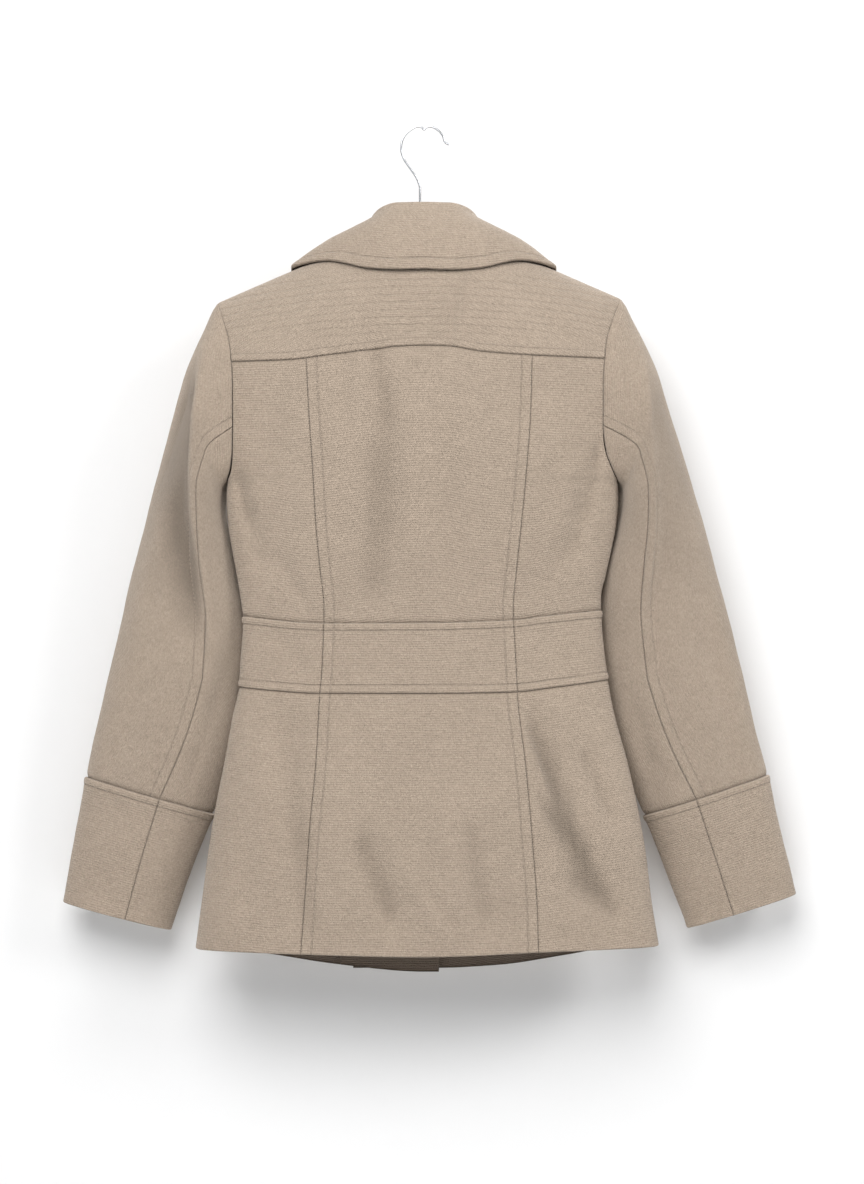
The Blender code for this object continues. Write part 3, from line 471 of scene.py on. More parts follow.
def smoothThrough(knots, values, t):
    knots = np.asarray(knots, float)
    gaps = np.diff(knots).reshape((-1,) + (1,) * (values.ndim - 1))
    rise = np.diff(values, axis=0) / gaps
    inner = (rise[:-1] * gaps[1:] + rise[1:] * gaps[:-1]) / (gaps[1:] + gaps[:-1])
    slopes = np.concatenate([rise[:1] * 1.2 - rise[1:2] * 0.2, inner, rise[-1:]])
    k = np.clip(np.searchsorted(knots, t, side="right") - 1, 0, len(knots) - 2)
    span = (knots[k + 1] - knots[k])[..., None]
    share = (t - knots[k])[..., None] / span
    at = k[None, ..., None]
    start, end = np.take_along_axis(values, at, 0)[0], np.take_along_axis(values, at + 1, 0)[0]
    leanIn, leanOut = np.take_along_axis(slopes, at, 0)[0], np.take_along_axis(slopes, at + 1, 0)[0]
    return (
        start * (1 + 2 * share) * (1 - share) ** 2
        + leanIn * span * share * (1 - share) ** 2
        + end * share**2 * (3 - 2 * share)
        + leanOut * span * share**2 * (share - 1)
    )


def sleeve(side):
    def point(column, ring):
        phi = sleeveAngle(column, ring)
        rings = [armholePoint(side, phi)]
        rings += [ringPoint(side, k, phi) for k in range(1, sleeveCut["lastRing"] + 1)]
        return smoothThrough(range(sleeveCut["lastRing"] + 1), np.array(rings), ring)

    return point


def neckEdge(x):
    return shoulder(x) - dropOf(np.radians(neckTurns(np.minimum(np.abs(x), bodyCut["neckSide"]))))


def rollLine(height):
    topX, topZ = frontCut["rollLineTop"]
    slope = (frontCut["overEdge"] + topX) / (topZ - frontCut["breakHeight"])
    return topX + slope * (height - topZ)


def frontEdgeLeft(height):
    return np.maximum(rollLine(height), frontCut["underEdge"])


def frontEdgeRight(height):
    return np.minimum(-rollLine(height), frontCut["overEdge"])


def overShoulder(x, turn):
    x, turn = np.broadcast_arrays(np.asarray(x, float), np.asarray(turn, float))
    z = shoulder(x) - dropOf(turn)
    back, front = bodyY(x, z, 1, turn), bodyY(x, z, -1, turn)
    return np.stack([x, np.where(turn >= 0, back, front), z], -1)


def overShoulderNormal(x, turn):
    step = 1e-3
    across = overShoulder(x + step, turn) - overShoulder(x - step, turn)
    down = overShoulder(x, turn + step) - overShoulder(x, turn - step)
    normal = np.cross(across, down)
    normal /= np.linalg.norm(normal, axis=-1, keepdims=True)
    return normal * np.sign(normal[..., 2:] + 1e-9)


def neckLine(station):
    side, reach = np.where(station < 0, -1.0, 1.0), np.clip(np.abs(station), 0, 1)
    x = collarTable["neckX"](reach)
    turn = np.radians(np.where(reach < 0.5, neckTurns(x), collarTable["frontTurn"](reach)))
    for _ in range(8):
        x = np.where(reach < 0.5, x, frontEdgeLeft(shoulder(x) - dropOf(turn)))
    return overShoulder(side * x, turn), overShoulderNormal(side * x, turn)


def foldLine(station):
    side, reach = np.where(station < 0, -1.0, 1.0), np.clip(np.abs(station), 0, 1)
    x, y, z = (collarTable[name](reach) for name in ("rollX", "rollY", "rollZ"))
    return np.stack([side * x, y, z], -1)


def intoNeck(line, station):
    along = line(station + 0.04) - line(station - 0.04)
    inward = np.stack([along[..., 1], -along[..., 0], 0 * along[..., 0]], -1)
    return inward / np.linalg.norm(inward, axis=-1, keepdims=True)


def collar(station, across):
    s = np.abs(station)
    up = np.array([0.0, 0.0, 1.0])
    (neck, neckNormal), fold = neckLine(s), foldLine(s)
    neckIn = intoNeck(lambda t: neckLine(t)[0], s)
    foldWay = intoNeck(foldLine, s)
    lean = np.clip(-(neckNormal * neckIn).sum(-1, keepdims=True), 0, 1)
    foot = neck + neckIn * (clothMake["wall"] * (1 + lean) + collarCut["collarGap"]) - 2.0 * up
    height = (fold - foot)[..., 2:]
    dip = np.minimum(5.0, 0.45 * height)
    foldIn = fold + foldWay * collarCut["foldHalfWidth"] - dip * up
    foldOut = fold - foldWay * collarCut["foldHalfWidth"] - dip * up
    riser = (foot + foldIn) / 2 + foldWay * 0.5
    edgeX, edgeTurn = collarTable["edgeX"](s), np.radians(collarTable["edgeTurn"](s))
    edgeNormal = overShoulderNormal(edgeX, edgeTurn)
    edge = overShoulder(edgeX, edgeTurn) + edgeNormal * collarTable["lift"](s)[..., None]
    belly = (foldOut + edge) / 2 + collarCut["collarBulge"] * (edgeNormal + 0.4 * up - 0.4 * foldWay)
    path = np.stack([foot, riser, foldIn, fold, foldOut, belly, edge])
    path[..., 0] *= np.where(station >= 0, 1.0, -1.0)
    return smoothThrough(collarCut["collarKnots"], path, across)


def lapel(side):
    shape = {name: np.array(corner, float) for name, corner in lapelCut[side].items()}
    away = np.array(lapelCut["swellWay"][side])
    lift = lapLift if side == "right" else (lambda x, z: 0.0)

    def point(along, out):
        along, out = along[..., None], out[..., None]
        top, bottom = shape["roll"]
        roll = top + along * (bottom - top)
        edge = shape["tip"] + along * (shape["foot"] - shape["tip"])
        edge = edge + away * lapelCut["belly"][side] * 4 * along * (1 - along)
        flat = roll + out * (edge - roll)
        halfway = top + 0.5 * (shape["tip"] - top)
        notch = (shape["notch"] - halfway) * (1 - np.abs(2 * out - 1)) * (1 - along) ** 3
        x, z = np.moveaxis(flat + notch, -1, 0)
        y = bodyY(x, z, -1, turnOf(np.maximum(shoulder(x) - z, 0))) - lift(x, z)
        return np.stack([x, y, z], -1)

    return point


# How cloth stands at an edge: (distance from the edge, rise), by the way it is sewn
edgeForms = {
    "seam": [(0, -1.3), (0.5, -0.7), (1.2, -0.2), (2.4, 0.0)],
    "under": [(0, -1.7), (1.5, -1.2), (3.0, -0.5), (6.0, 0.0)],
    "stitched": [
        (0, -1.0), (0.5, -0.2), (1.4, 0.3), (5.0, 0.5), (9.0, 0.3), (9.9, -0.15), (10.3, -0.15), (11.6, 0.1),
        (15, 0),
    ],
    "lapped": [
        (0, -0.5), (0.5, 0.6), (1.4, 1.2), (4.0, 1.25), (6.2, 0.85), (7.3, 0.1), (7.7, 0.1), (9.4, 0.35),
        (14, 0),
    ],
    "edge": [
        (0, -0.9), (0.5, -0.1), (1.5, 0.5), (5.0, 0.7), (9.4, 0.4), (10.7, -0.15), (11.1, -0.15), (12.8, 0.1),
        (17, 0),
    ],
    "hem": [(0, -0.9), (0.5, -0.25), (1.5, 0.15), (4.0, 0.1), (8.0, 0)],
    "cap": [(0, -0.9), (0.6, -0.3), (1.6, 0.3), (9.0, 1.0), (26, 0)],
    "armhole": [(0, -0.9), (0.6, -0.3), (1.4, 0.0)],
    "open": [(0, -0.7), (0.8, -0.1), (2.0, 0)],
    None: [(0, 0), (1, 0)],
}
stitchInset = {"stitched": 10.1, "lapped": 7.5, "edge": 10.9}
nearEdge = [0, 0.5, 1.1, 1.9, 3.0, 4.6, 6.4, 7.4, 8.2, 9.2, 10.2, 11.2, 12.6, 15.0]  # where the mesh is cut


def edgeRise(form, distance):
    at, rise = zip(*edgeForms[form])
    return np.interp(distance, at, rise)


def cuts(length, step=clothMake["step"], fineFirst=True, fineLast=True):  # as shares of the length
    first = nearEdge if fineFirst else [0]
    last = [length - d for d in reversed(nearEdge)] if fineLast else [length]
    count = max(2, int(round((last[0] - first[-1]) / step)) + 1)
    middle = np.linspace(first[-1], last[0], count)[1:-1]
    return np.array([*first, *middle, *last]) / length


def unevenness(points):  # slow swells and small bumps that hand-pressed wool keeps
    x, y, z = np.moveaxis(points, -1, 0)
    slow = np.sin(x / 31 + 1.3) * np.sin(z / 43 + 0.6)
    slow = slow + 0.7 * np.sin((x + z) / 23 + y / 30 + 2.1) * np.sin((x - z) / 37)
    fast = np.sin(x / 9.1 + z / 17 + 0.4) * np.sin(z / 11.3 - x / 21 + 1.9)
    fast = fast + np.sin(x / 6.3 - z / 8.9) * np.sin(z / 13 + x / 29)
    return 0.6 * slow + 0.12 * fast


def surfaceNormals(point, u, v, outward):
    beside = lambda t, share: np.clip(t + share * (t.max() - t.min()), t.min(), t.max())
    across = point(beside(u, 2e-3), v) - point(beside(u, -2e-3), v)
    down = point(u, beside(v, 2e-3)) - point(u, beside(v, -2e-3))
    normal = np.cross(across, down)
    normal /= np.maximum(np.linalg.norm(normal, axis=-1, keepdims=True), 1e-12)
    return normal * np.sign((normal * outward(point(u, v))).sum(-1).sum())


def runs(points, axis):  # length along the cloth from its first edge
    steps = np.linalg.norm(np.diff(points, axis=axis), axis=-1)
    zero = np.zeros_like(np.take(points[..., 0], [0], axis=axis))
    return np.concatenate([zero, np.cumsum(steps, axis=axis)], axis=axis)


def drawIn(points, gaps):  # leaves room beside each of the four edges
    moved = points.copy()
    edges = (np.s_[0, :], np.s_[-1, :], np.s_[:, 0], np.s_[:, -1])
    insides = (np.s_[1, :], np.s_[-2, :], np.s_[:, 1], np.s_[:, -2])
    for gap, edge, inside in zip(gaps, edges, insides):
        step = points[inside] - points[edge]
        moved[edge] += gap * step / np.maximum(np.linalg.norm(step, axis=-1, keepdims=True), 1e-9)
    return moved


def meshObject(name, points, faces, uv=None, masks=None, lines=None):
    mesh = bpy.data.meshes.new(name)
    mesh.from_pydata((np.asarray(points) / 1000).tolist(), [], faces)
    if uv is not None:
        layer = mesh.uv_layers.new(name="cloth")
        corners = np.empty(len(mesh.loops), np.int32)
        mesh.loops.foreach_get("vertex_index", corners)
        layer.data.foreach_set("uv", np.asarray(uv, np.float32)[corners].reshape(-1))
    for mask, values in (masks or {}).items():
        attribute = mesh.attributes.new(mask, "FLOAT", "POINT")
        attribute.data.foreach_set("value", np.asarray(values, np.float32))
    if lines is not None:
        attribute = mesh.attributes.new("sewn", "FLOAT_COLOR", "POINT")
        attribute.data.foreach_set("color", np.asarray(lines, np.float32).reshape(-1))
    mesh.shade_smooth()
    made = bpy.data.objects.new(name, mesh)
    bpy.context.scene.collection.objects.link(made)
    return made


def gridFaces(columns, rows, first=0, turned=False):
    i, j = np.meshgrid(np.arange(columns - 1), np.arange(rows - 1), indexing="ij")
    a = (first + i * rows + j).reshape(-1)
    quads = np.stack([a, a + rows, a + rows + 1, a + 1], -1)
    return (quads[:, ::-1] if turned else quads).tolist()


def rimOf(columns, rows):  # the numbers of a grid's points, once round its edge
    index = np.arange(columns * rows).reshape(columns, rows)
    return [int(k) for k in (*index[:, 0], *index[-1, 1:], *index[-2::-1, -1], *index[0, -2:0:-1])]


def rimFaces(rim, count, turned):  # two strips, from the outer face over the rolled edge to the inner face
    faces = []
    for k, (a, b) in enumerate(zip(rim, rim[1:] + rim[:1])):
        m, n = 2 * count + k, 2 * count + (k + 1) % len(rim)
        pair = [(b, a, m, n), (n, m, a + count, b + count)]
        faces += [f[::-1] for f in pair] if turned else pair
    return faces


clothPieces = {}
shellMake = {
    "sunkFrom": -0.25,  # deeper than this, a seam's groove wins over the puff beside it
    "puffShare": 0.35,
    "calmWidth": 16,
    # fold depth where the painted crease shade begins, and over how far it deepens
    "creaseShadeFrom": 2.2,
    "creaseShadeSpan": 7,
    "grooveDepth": 1.2,
    "grooveWidth": 1.3,
    # how far from an edge the painted highlight on raised cloth reaches
    "edgeHighlightWidth": 2,
    "rimSwell": 0.12,
    "innerUv": 0.37,
    "unsewn": -60,  # no stitch line lies this far out
    "insideOffset": 90,
}


def clothPiece(
        name, point, us, vs, outward, edges, relief=None, wall=clothMake["wall"], raised=0.0, gaps=None):
    # edges are the forms at the first and last column and at the first and last row
    u, v = np.meshgrid(us, vs, indexing="ij")
    normals = surfaceNormals(point, u, v, outward)
    base = point(u, v)
    across, down = runs(base, 0), runs(base, 1)
    distances = (across, across[-1:] - across, down, down[:, -1:] - down)
    nearest = np.min(distances, axis=0)

    rises = np.stack([edgeRise(form, d) for form, d in zip(edges, distances)])
    deepest, highest = np.minimum(rises.min(0), 0), np.maximum(rises.max(0), 0)
    sunk = deepest < shellMake["sunkFrom"]
    rise = np.where(sunk, deepest + shellMake["puffShare"] * highest, highest + deepest)
    rise = rise + raised + unevenness(base) * np.clip(nearest / shellMake["calmWidth"], 0, 1)
    folds = relief(base) if relief else np.zeros_like(nearest)
    face = drawIn(base, gaps or (clothMake["seamGap"],) * 4) + (rise + folds)[..., None] * normals
    inner = face - wall * normals

    columns, rows = face.shape[:2]
    count = columns * rows
    rim = rimOf(columns, rows)
    outerRim, innerRim = face.reshape(-1, 3)[rim], inner.reshape(-1, 3)[rim]
    along = np.roll(outerRim, -1, 0) - np.roll(outerRim, 1, 0)
    swell = np.cross(along, normals.reshape(-1, 3)[rim])
    swell /= np.maximum(np.linalg.norm(swell, axis=-1, keepdims=True), 1e-9)
    swell *= np.sign((swell * (outerRim - face[columns // 2, rows // 2])).sum(-1).sum())
    rolled = (outerRim + innerRim) / 2 + swell * shellMake["rimSwell"] * wall
    points = np.concatenate([face.reshape(-1, 3), inner.reshape(-1, 3), rolled])
    turned = float((np.cross(face[1, 0] - face[0, 0], face[0, 1] - face[0, 0]) * normals[0, 0]).sum()) < 0
    faces = gridFaces(columns, rows, 0, turned) + gridFaces(columns, rows, count, not turned)
    faces += rimFaces(rim, count, turned)

    def spread(outer, inside, edge=None):  # a mask on the outer face, the inner face and the rim
        outer = np.broadcast_to(outer, (columns, rows)).reshape(-1)
        onRim = outer[rim] if edge is None else np.full(len(rim), edge)
        return np.concatenate([outer, np.full(count, inside), onRim])

    # painted shade in the seam grooves: darker where an edge sinks, fading away from the edge
    groove = np.clip(-deepest / shellMake["grooveDepth"], 0, 1) * np.exp(-nearest / shellMake["grooveWidth"])
    masks = {
        "seam": spread(groove, 0.0),
        # painted shade in the troughs of folds and creases, darker where they sink deeper
        "paintedCreaseShade": spread(np.clip((-folds - shellMake["creaseShadeFrom"]) / shellMake["creaseShadeSpan"], 0, 1), 0.0),
        # painted shade: the inner faces take the darker inside colour, the rim partly
        "inside": spread(0.0, 1.0, 0.4),
        # painted highlight on the raised cloth beside each edge, and half of it on the rolled rim
        "paintedEdgeHighlight": spread(np.clip(highest, 0, 1) * np.exp(-nearest / shellMake["edgeHighlightWidth"]), 0.0, 0.5),
    }
    flat = np.stack([across, -down], -1).reshape(-1, 2) / 1000
    uv = np.concatenate([flat, flat + shellMake["innerUv"], flat[rim]])
    lines = [d - stitchInset.get(form, shellMake["unsewn"]) for form, d in zip(edges, distances)]
    lines = np.stack(lines, -1).reshape(-1, 4)
    lines = np.concatenate([lines, lines + shellMake["insideOffset"], lines[rim]])
    made = meshObject(name, points, faces, uv, masks, lines)
    clothPieces[name] = {"object": made, "face": face, "normals": normals, "across": across, "down": down}


def sewnLine(name, edge, inset, start=0.0, end=1.0):  # points and normals of a row of stitches beside an edge
    piece = clothPieces[name]
    face, normals = piece["face"], piece["normals"]
    along = piece["down"] if edge in ("top", "bottom") else piece["across"]
    if edge in ("left", "right"):
        face, normals, along = face.swapaxes(0, 1), normals.swapaxes(0, 1), along.swapaxes(0, 1)
    if edge in ("bottom", "right"):
        along = along[:, -1:] - along
        face, normals, along = face[:, ::-1], normals[:, ::-1], along[:, ::-1]
    last = len(face) - 1
    lines = range(int(round(start * last)), int(round(end * last)) + 1)
    pick = lambda grid, i: np.array([np.interp(inset, along[i], grid[i, :, k]) for k in range(3)])
    return np.array([pick(face, i) for i in lines]), np.array([pick(normals, i) for i in lines])


stitchForm = {
    "rings": [(0.0, 0.35, -0.5), (0.16, 0.9, -0.05), (0.5, 1.0, 0.3), (0.84, 0.9, -0.05), (1.0, 0.35, -0.5)],
    "turns": (0.3, 1.35, 2.4, 3.45, 4.5, 5.55),  # round a stitch, in radians
    "lift": 0.5,
    "gap": 0.12,
    "luck": 0.06,
}


def tubeFaces(rings, around, first):  # the sides and both ends of a tube of rings of points
    faces = []
    for ring in range(rings - 1):
        for k in range(around):
            a, b = first + ring * around + k, first + ring * around + (k + 1) % around
            faces.append((a, b, b + around, a + around))
    faces.append(tuple(first + k for k in range(around - 1, -1, -1)))
    faces.append(tuple(first + (rings - 1) * around + k for k in range(around)))
    return faces


def stitchRow(line, normals, seed):  # short rounded stitches, each dipping into the cloth at both ends
    length = np.concatenate([[0], np.cumsum(np.linalg.norm(np.diff(line, axis=0), axis=1))])
    count = int(length[-1] / clothMake["stitchPitch"])
    if count < 2:
        return [], []
    luck = np.random.default_rng(seed).random(count)
    starts = (np.arange(count) + stitchForm["gap"] + stitchForm["luck"] * luck) * clothMake["stitchPitch"]
    follow = lambda s, rows: np.array([np.interp(s, length, rows[:, k]) for k in range(3)])
    points, faces = [], []
    for begin in starts:
        faces += tubeFaces(len(stitchForm["rings"]), len(stitchForm["turns"]), len(points))
        for share, thick, lift in stitchForm["rings"]:
            s = begin + share * clothMake["stitchLength"]
            at, normal = follow(s, line), follow(s, normals)
            side = np.cross(follow(s + 0.5, line) - follow(s - 0.5, line), normal)
            side /= max(np.linalg.norm(side), 1e-9)
            normal /= np.linalg.norm(normal)
            r = clothMake["stitchRadius"] * thick
            at = at + normal * (lift * stitchForm["lift"])
            points += [at + side * r * math.cos(a) + normal * r * math.sin(a) for a in stitchForm["turns"]]
    return points, faces


def stitches(name, rows):
    points, faces = [], []
    for number, row in enumerate(rows):
        more, sides = stitchRow(*sewnLine(*row), seed=number)
        faces += [tuple(k + len(points) for k in side) for side in sides]
        points += more
    return meshObject(name, points, faces)


def fromBody(points):  # outward from the coat's upright middle line
    return (points - np.array([0.0, 5.0, 0.0])) * np.array([1.0, 1.0, 0.0]) + np.array([0.0, 0.0, 1e-3])


# Creases that gravity and wear left in the sleeves: x by height, along the back of each sleeve
sleeveCreases = {
    "left": table(
        "z x",
        [(-215, 223), (-257, 227), (-296, 232), (-333, 233.5),
         (-370, 233), (-405, 229), (-440, 223), (-480, 219)],
    )["x"],
    "right": table(
        "z x",
        [(-215, -223), (-257, -226), (-301, -229), (-355, -233),
         (-388, -234), (-420, -232), (-455, -226), (-490, -222)],
    )["x"],
}
creaseForm = {
    "steep": {"left": 1.0, "right": 0.32},
    "lowEnd": (-540, 90),  # where the crease fades out, and over how far
    "topEnd": (-205, 70),
    # the sleeve's middle: heights and y
    "middle": ([-690, -545, -470, -415, -360, -300, -240], [-34, -22, -18, -14, -8, -3, 4]),
    "facing": 16,
    "ridge": (2.6, -6, 7),  # rise, place and width
    "groove": (-2.0, 3.2),
    "fall": (-13, -1, 4.5),
    "recovery": (0.30, 6, 34),  # slope, start and reach
}
# Soft dents and swells of the sleeves: side, x, z, half width, half height, rise
sleeveDents = [
    ("left", 262, -330, 13, 70, -1.6), ("left", 207, -567, 10, 60, -2.6), ("left", 232, -640, 9, 36, -1.8),
    ("left", 286, -520, 15, 66, 1.4), ("left", 300, -610, 12, 44, -1.5), ("left", 274, -735, 9, 42, -1.8),
    ("left", 322, -700, 12, 46, -1.2), ("left", 268, -455, 12, 60, -1.4),
    ("right", -262, -340, 14, 66, -1.8), ("right", -225, -625, 10, 52, -2.6),
    ("right", -292, -545, 13, 62, -1.5), ("right", -252, -520, 12, 60, 1.3),
    ("right", -308, -640, 12, 40, -1.4), ("right", -292, -748, 9, 42, -1.6),
    ("right", -334, -715, 12, 44, -1.2), ("right", -274, -440, 14, 54, -1.3),
]
dentForm = {
    "slant": 0.24,
    "backShare": 1.5,
    "frontShare": 0.9,
    "frontShift": (9, -26),  # a dent of the front lies beside the one of the back
    "turnover": (-20, 24),
}
innerFill = {
    "rise": 5.0, "x": 208, "z": -345, "slope": 0.16, "fade": 6, "y": 4, "depth": 10, "peak": -362, "span": 30,
}


def sleeveCrease(side, x, y, z):
    away = (1.0 if side == "left" else -1.0) * (x - sleeveCreases[side](z))
    steep = creaseForm["steep"][side]
    facing = np.clip((y - np.interp(z, *creaseForm["middle"])) / creaseForm["facing"], 0, 1)
    (low, lowFade), (top, topFade) = creaseForm["lowEnd"], creaseForm["topEnd"]
    held = np.clip((z - low) / lowFade, 0, 1) * np.clip((top - z) / topFade, 0, 1) * facing
    (rise, place, width), (sink, grooveWidth) = creaseForm["ridge"], creaseForm["groove"]
    ridge = rise * np.exp(-(((away - place) / width) ** 2))
    ridge = ridge + sink * (1 - steep) * np.exp(-((away / grooveWidth) ** 2))
    (drop, edge, span), (slope, start, reach) = creaseForm["fall"], creaseForm["recovery"]
    fall = drop * steep * (1 - np.exp(-np.clip(away - edge, 0, None) / span))
    return held * (ridge + (fall + slope * steep * np.clip(away - start, 0, reach)))


def sleeveRelief(side):
    out = 1.0 if side == "left" else -1.0
    shiftX, shiftZ = dentForm["frontShift"]
    turnover, fade = dentForm["turnover"]

    def dent(x, z, halfX, halfZ):
        return np.exp(-((x / halfX) ** 2) - (z / halfZ) ** 2)

    def relief(points):
        x, y, z = np.moveaxis(points, -1, 0)
        rise = sleeveCrease(side, x, y, z)
        backSide = np.clip((y - turnover) / fade, 0, 1)
        for _, cx, cz, halfX, halfZ, depth in (row for row in sleeveDents if row[0] == side):
            lean = -dentForm["slant"] * out * (z - cz)
            dx, dz = x - cx - lean, z - cz
            rise = rise + dentForm["backShare"] * backSide * depth * dent(dx, dz, halfX, halfZ)
            onFront = dentForm["frontShare"] * (1 - backSide) * depth
            rise = rise + onFront * dent(dx - shiftX, dz - shiftZ, halfX, halfZ)
        near = (innerFill["x"] - out * x + innerFill["slope"] * (z - innerFill["z"])) / innerFill["fade"]
        inner = np.clip(near, 0, 1) * np.clip((innerFill["y"] - y) / innerFill["depth"], 0, 1)
        level = np.exp(-(((z - innerFill["peak"]) / innerFill["span"]) ** 2))
        return rise + innerFill["rise"] * inner * level

    return relief


# Finer creases of the body, over the large folds: as the folds, with the trough's width and depth
backCreases = [
    ("yokeLeft", 120, -150, 150, -215, 12, -1.8), ("yokeRight", -96, -160, -140, -214, 13, -2.0),
    ("valleyTop", 49, -212, 36, -300, 9, -4.4), ("valleyLow", 40, -290, 46, -480, 15, -3.4),
    ("valleyRidge", 64, -222, 68, -420, 10, 1.8), ("bladeBroad", 56, -300, 60, -480, 30, -2.6),
    ("valleySmall", 82, -222, 76, -292, 8, -2.4),
    ("bladeSwell", 128, -250, 124, -440, 18, 2.4), ("bladeMiddle", -12, -280, -24, -460, 16, -2.0),
    ("middleSwell", 14, -250, 10, -450, 13, 1.8), ("bladeRight", -78, -300, -66, -450, 11, -2.2),
    ("waistLeft", 150, -420, 120, -470, 8, -3.0), ("waistRight", -150, -400, -112, -462, 9, -3.0),
    ("armpitLeft", 188, -338, 174, -390, 6, -4.0), ("armpitLeftLow", 176, -380, 160, -440, 8, -2.6),
    ("armpitRight", -176, -312, -160, -392, 6, -4.4), ("armpitRightLow", -158, -352, -146, -440, 7, -2.8),
    ("armpitRightSwell", -146, -330, -134, -410, 8, 2.2),
    ("bandLeft", 150, -500, 118, -546, 9, -1.6), ("bandRight", -120, -500, -150, -552, 9, -1.8),
    ("hipRight", -104, -582, -160, -735, 8, -6.4), ("hipRightSwell", -126, -578, -178, -716, 9, 3.2),
    ("hipRightOuter", -156, -612, -188, -688, 7, -4.4), ("hipRightBroad", -128, -590, -150, -790, 24, -2.8),
    ("hipRightLow", -114, -664, -188, -774, 8, -5.2), ("hipRightHem", -146, -736, -196, -784, 7, -3.4),
    ("hipLeft", 140, -575, 126, -700, 20, -3.2),
    ("hipLeftLow", 124, -690, 112, -808, 15, -4.2), ("hipLeftSwell", 164, -600, 152, -760, 12, 2.2),
    ("hemRight", -150, -740, -198, -810, 7, -2.2), ("hemLeft", 176, -700, 170, -806, 9, -2.4),
    ("hemMiddle", 66, -698, 30, -790, 11, -6.0), ("hemMiddleSwell", 18, -736, -14, -792, 8, 3.8),
    ("hemMiddleFold", 4, -750, -32, -794, 6, -3.0),
    ("hemMiddleRight", -44, -680, -62, -796, 14, -4.6), ("skirtMiddle", 10, -600, -2, -740, 17, -2.2),
]
frontCreases = [
    ("chestLeft", 140, -200, 120, -300, 10, -1.4), ("chestRight", -130, -210, -112, -320, 11, -1.5),
    ("armpitLeft", 170, -350, 140, -400, 6, -1.8), ("armpitRight", -165, -340, -136, -396, 6, -1.8),
    ("waistLeft", 120, -440, 150, -500, 8, -1.6), ("waistRight", -116, -450, -150, -512, 8, -1.7),
    ("hipLeft", 100, -590, 130, -720, 9, -1.7), ("hipRight", -96, -600, -130, -740, 9, -1.8),
    ("pullTop", 40, -372, 8, -400, 8, -0.8), ("pullMiddle", 34, -468, 4, -486, 8, -0.8),
    ("hemLeft", 60, -700, 66, -820, 12, -1.2), ("hemRight", -30, -690, -38, -830, 13, -1.3),
]


creaseDepth = {1: 1.0, -1: 1.9}  # the back's, and the front's


def bodyRelief(face):
    creases = backCreases if face > 0 else frontCreases
    return lambda points: creaseDepth[face] * foldRise(creases, points[..., 0], points[..., 2])


def backPiece(name, edges, ends, size, forms):
    surface = panel(1, *edges, *ends)
    clothPiece(name, surface, cuts(size[0]), cuts(size[1]), fromBody, forms, bodyRelief(1))


print("back panels")
# The seam above and below, the height in the centre and at the sides, the forms of both, and that of the side
backRows = {
    "Upper": ("yoke", "bandTop", 268, 258, ("under", "under"), "armhole"),
    "Band": ("bandTop", "bandBottom", 70, 72, ("lapped", "lapped"), "seam"),
    "Skirt": ("bandBottom", "backHem", 260, 262, ("under", "hem"), "seam"),
}
centreNames = {"Upper": "backCentreUpper", "Band": "bandCentre", "Skirt": "skirtCentre"}
sideNames = {"Upper": "backSideUpper", "Band": "bandSide", "Skirt": "skirtSide"}
backWidths = {"centre": 205, "side": 112, "yoke": (400, 130)}
backSeams = {side: seamEdge(princess[side], 1) for side in ("left", "right")}
for row, (top, bottom, height, _, forms, _) in backRows.items():
    backPiece(centreNames[row], backSeams.values(), (crossSeam[top], crossSeam[bottom]),
              (backWidths["centre"], height), ("stitched", "stitched", *forms))
for side, seam in backSeams.items():
    for row, (top, bottom, _, height, forms, outer) in backRows.items():
        backPiece(sideNames[row] + side.capitalize(), (sideEdge(side, 1), seam),
                  (crossSeam[top], crossSeam[bottom]), (backWidths["side"], height), (outer, "seam", *forms))
backPiece("backYoke", (sideEdge("left", 1), sideEdge("right", 1)), (neckEdge, crossSeam["yoke"]),
          backWidths["yoke"], ("armhole", "armhole", "seam", "lapped"))

print("fronts")
frontMesh = {"across": cuts(250, 4.2), "down": cuts(700, 2.6)}
for side, edge, lift in (("left", frontEdgeLeft, None), ("right", frontEdgeRight, lapLift)):
    surface = panel(-1, sideEdge(side, -1), seamEdge(edge, -1), None, crossSeam[f"{side}FrontHem"], lift)
    clothPiece(f"front{side.capitalize()}", surface, frontMesh["across"], frontMesh["down"], fromBody,
               ("seam", "edge", "seam", "hem"), bodyRelief(-1))
facingCut = {"width": 100.0, "top": -356.0, "gap": 1.1, "wall": 1.6}
facingEdge = lambda height: frontCut["underEdge"] + facingCut["width"] + 0 * height
facingTop = lambda x: facingCut["top"] + 0 * x
facingEdges = (seamEdge(facingEdge, -1), seamEdge(frontEdgeLeft, -1))
surface = panel(-1, *facingEdges, facingTop, crossSeam["leftFrontHem"])
clothPiece("facingLeft", surface, cuts(100), cuts(490, 7), fromBody, ("open", "open", "open", "hem"),
           wall=facingCut["wall"], raised=-(clothMake["wall"] + facingCut["gap"]))

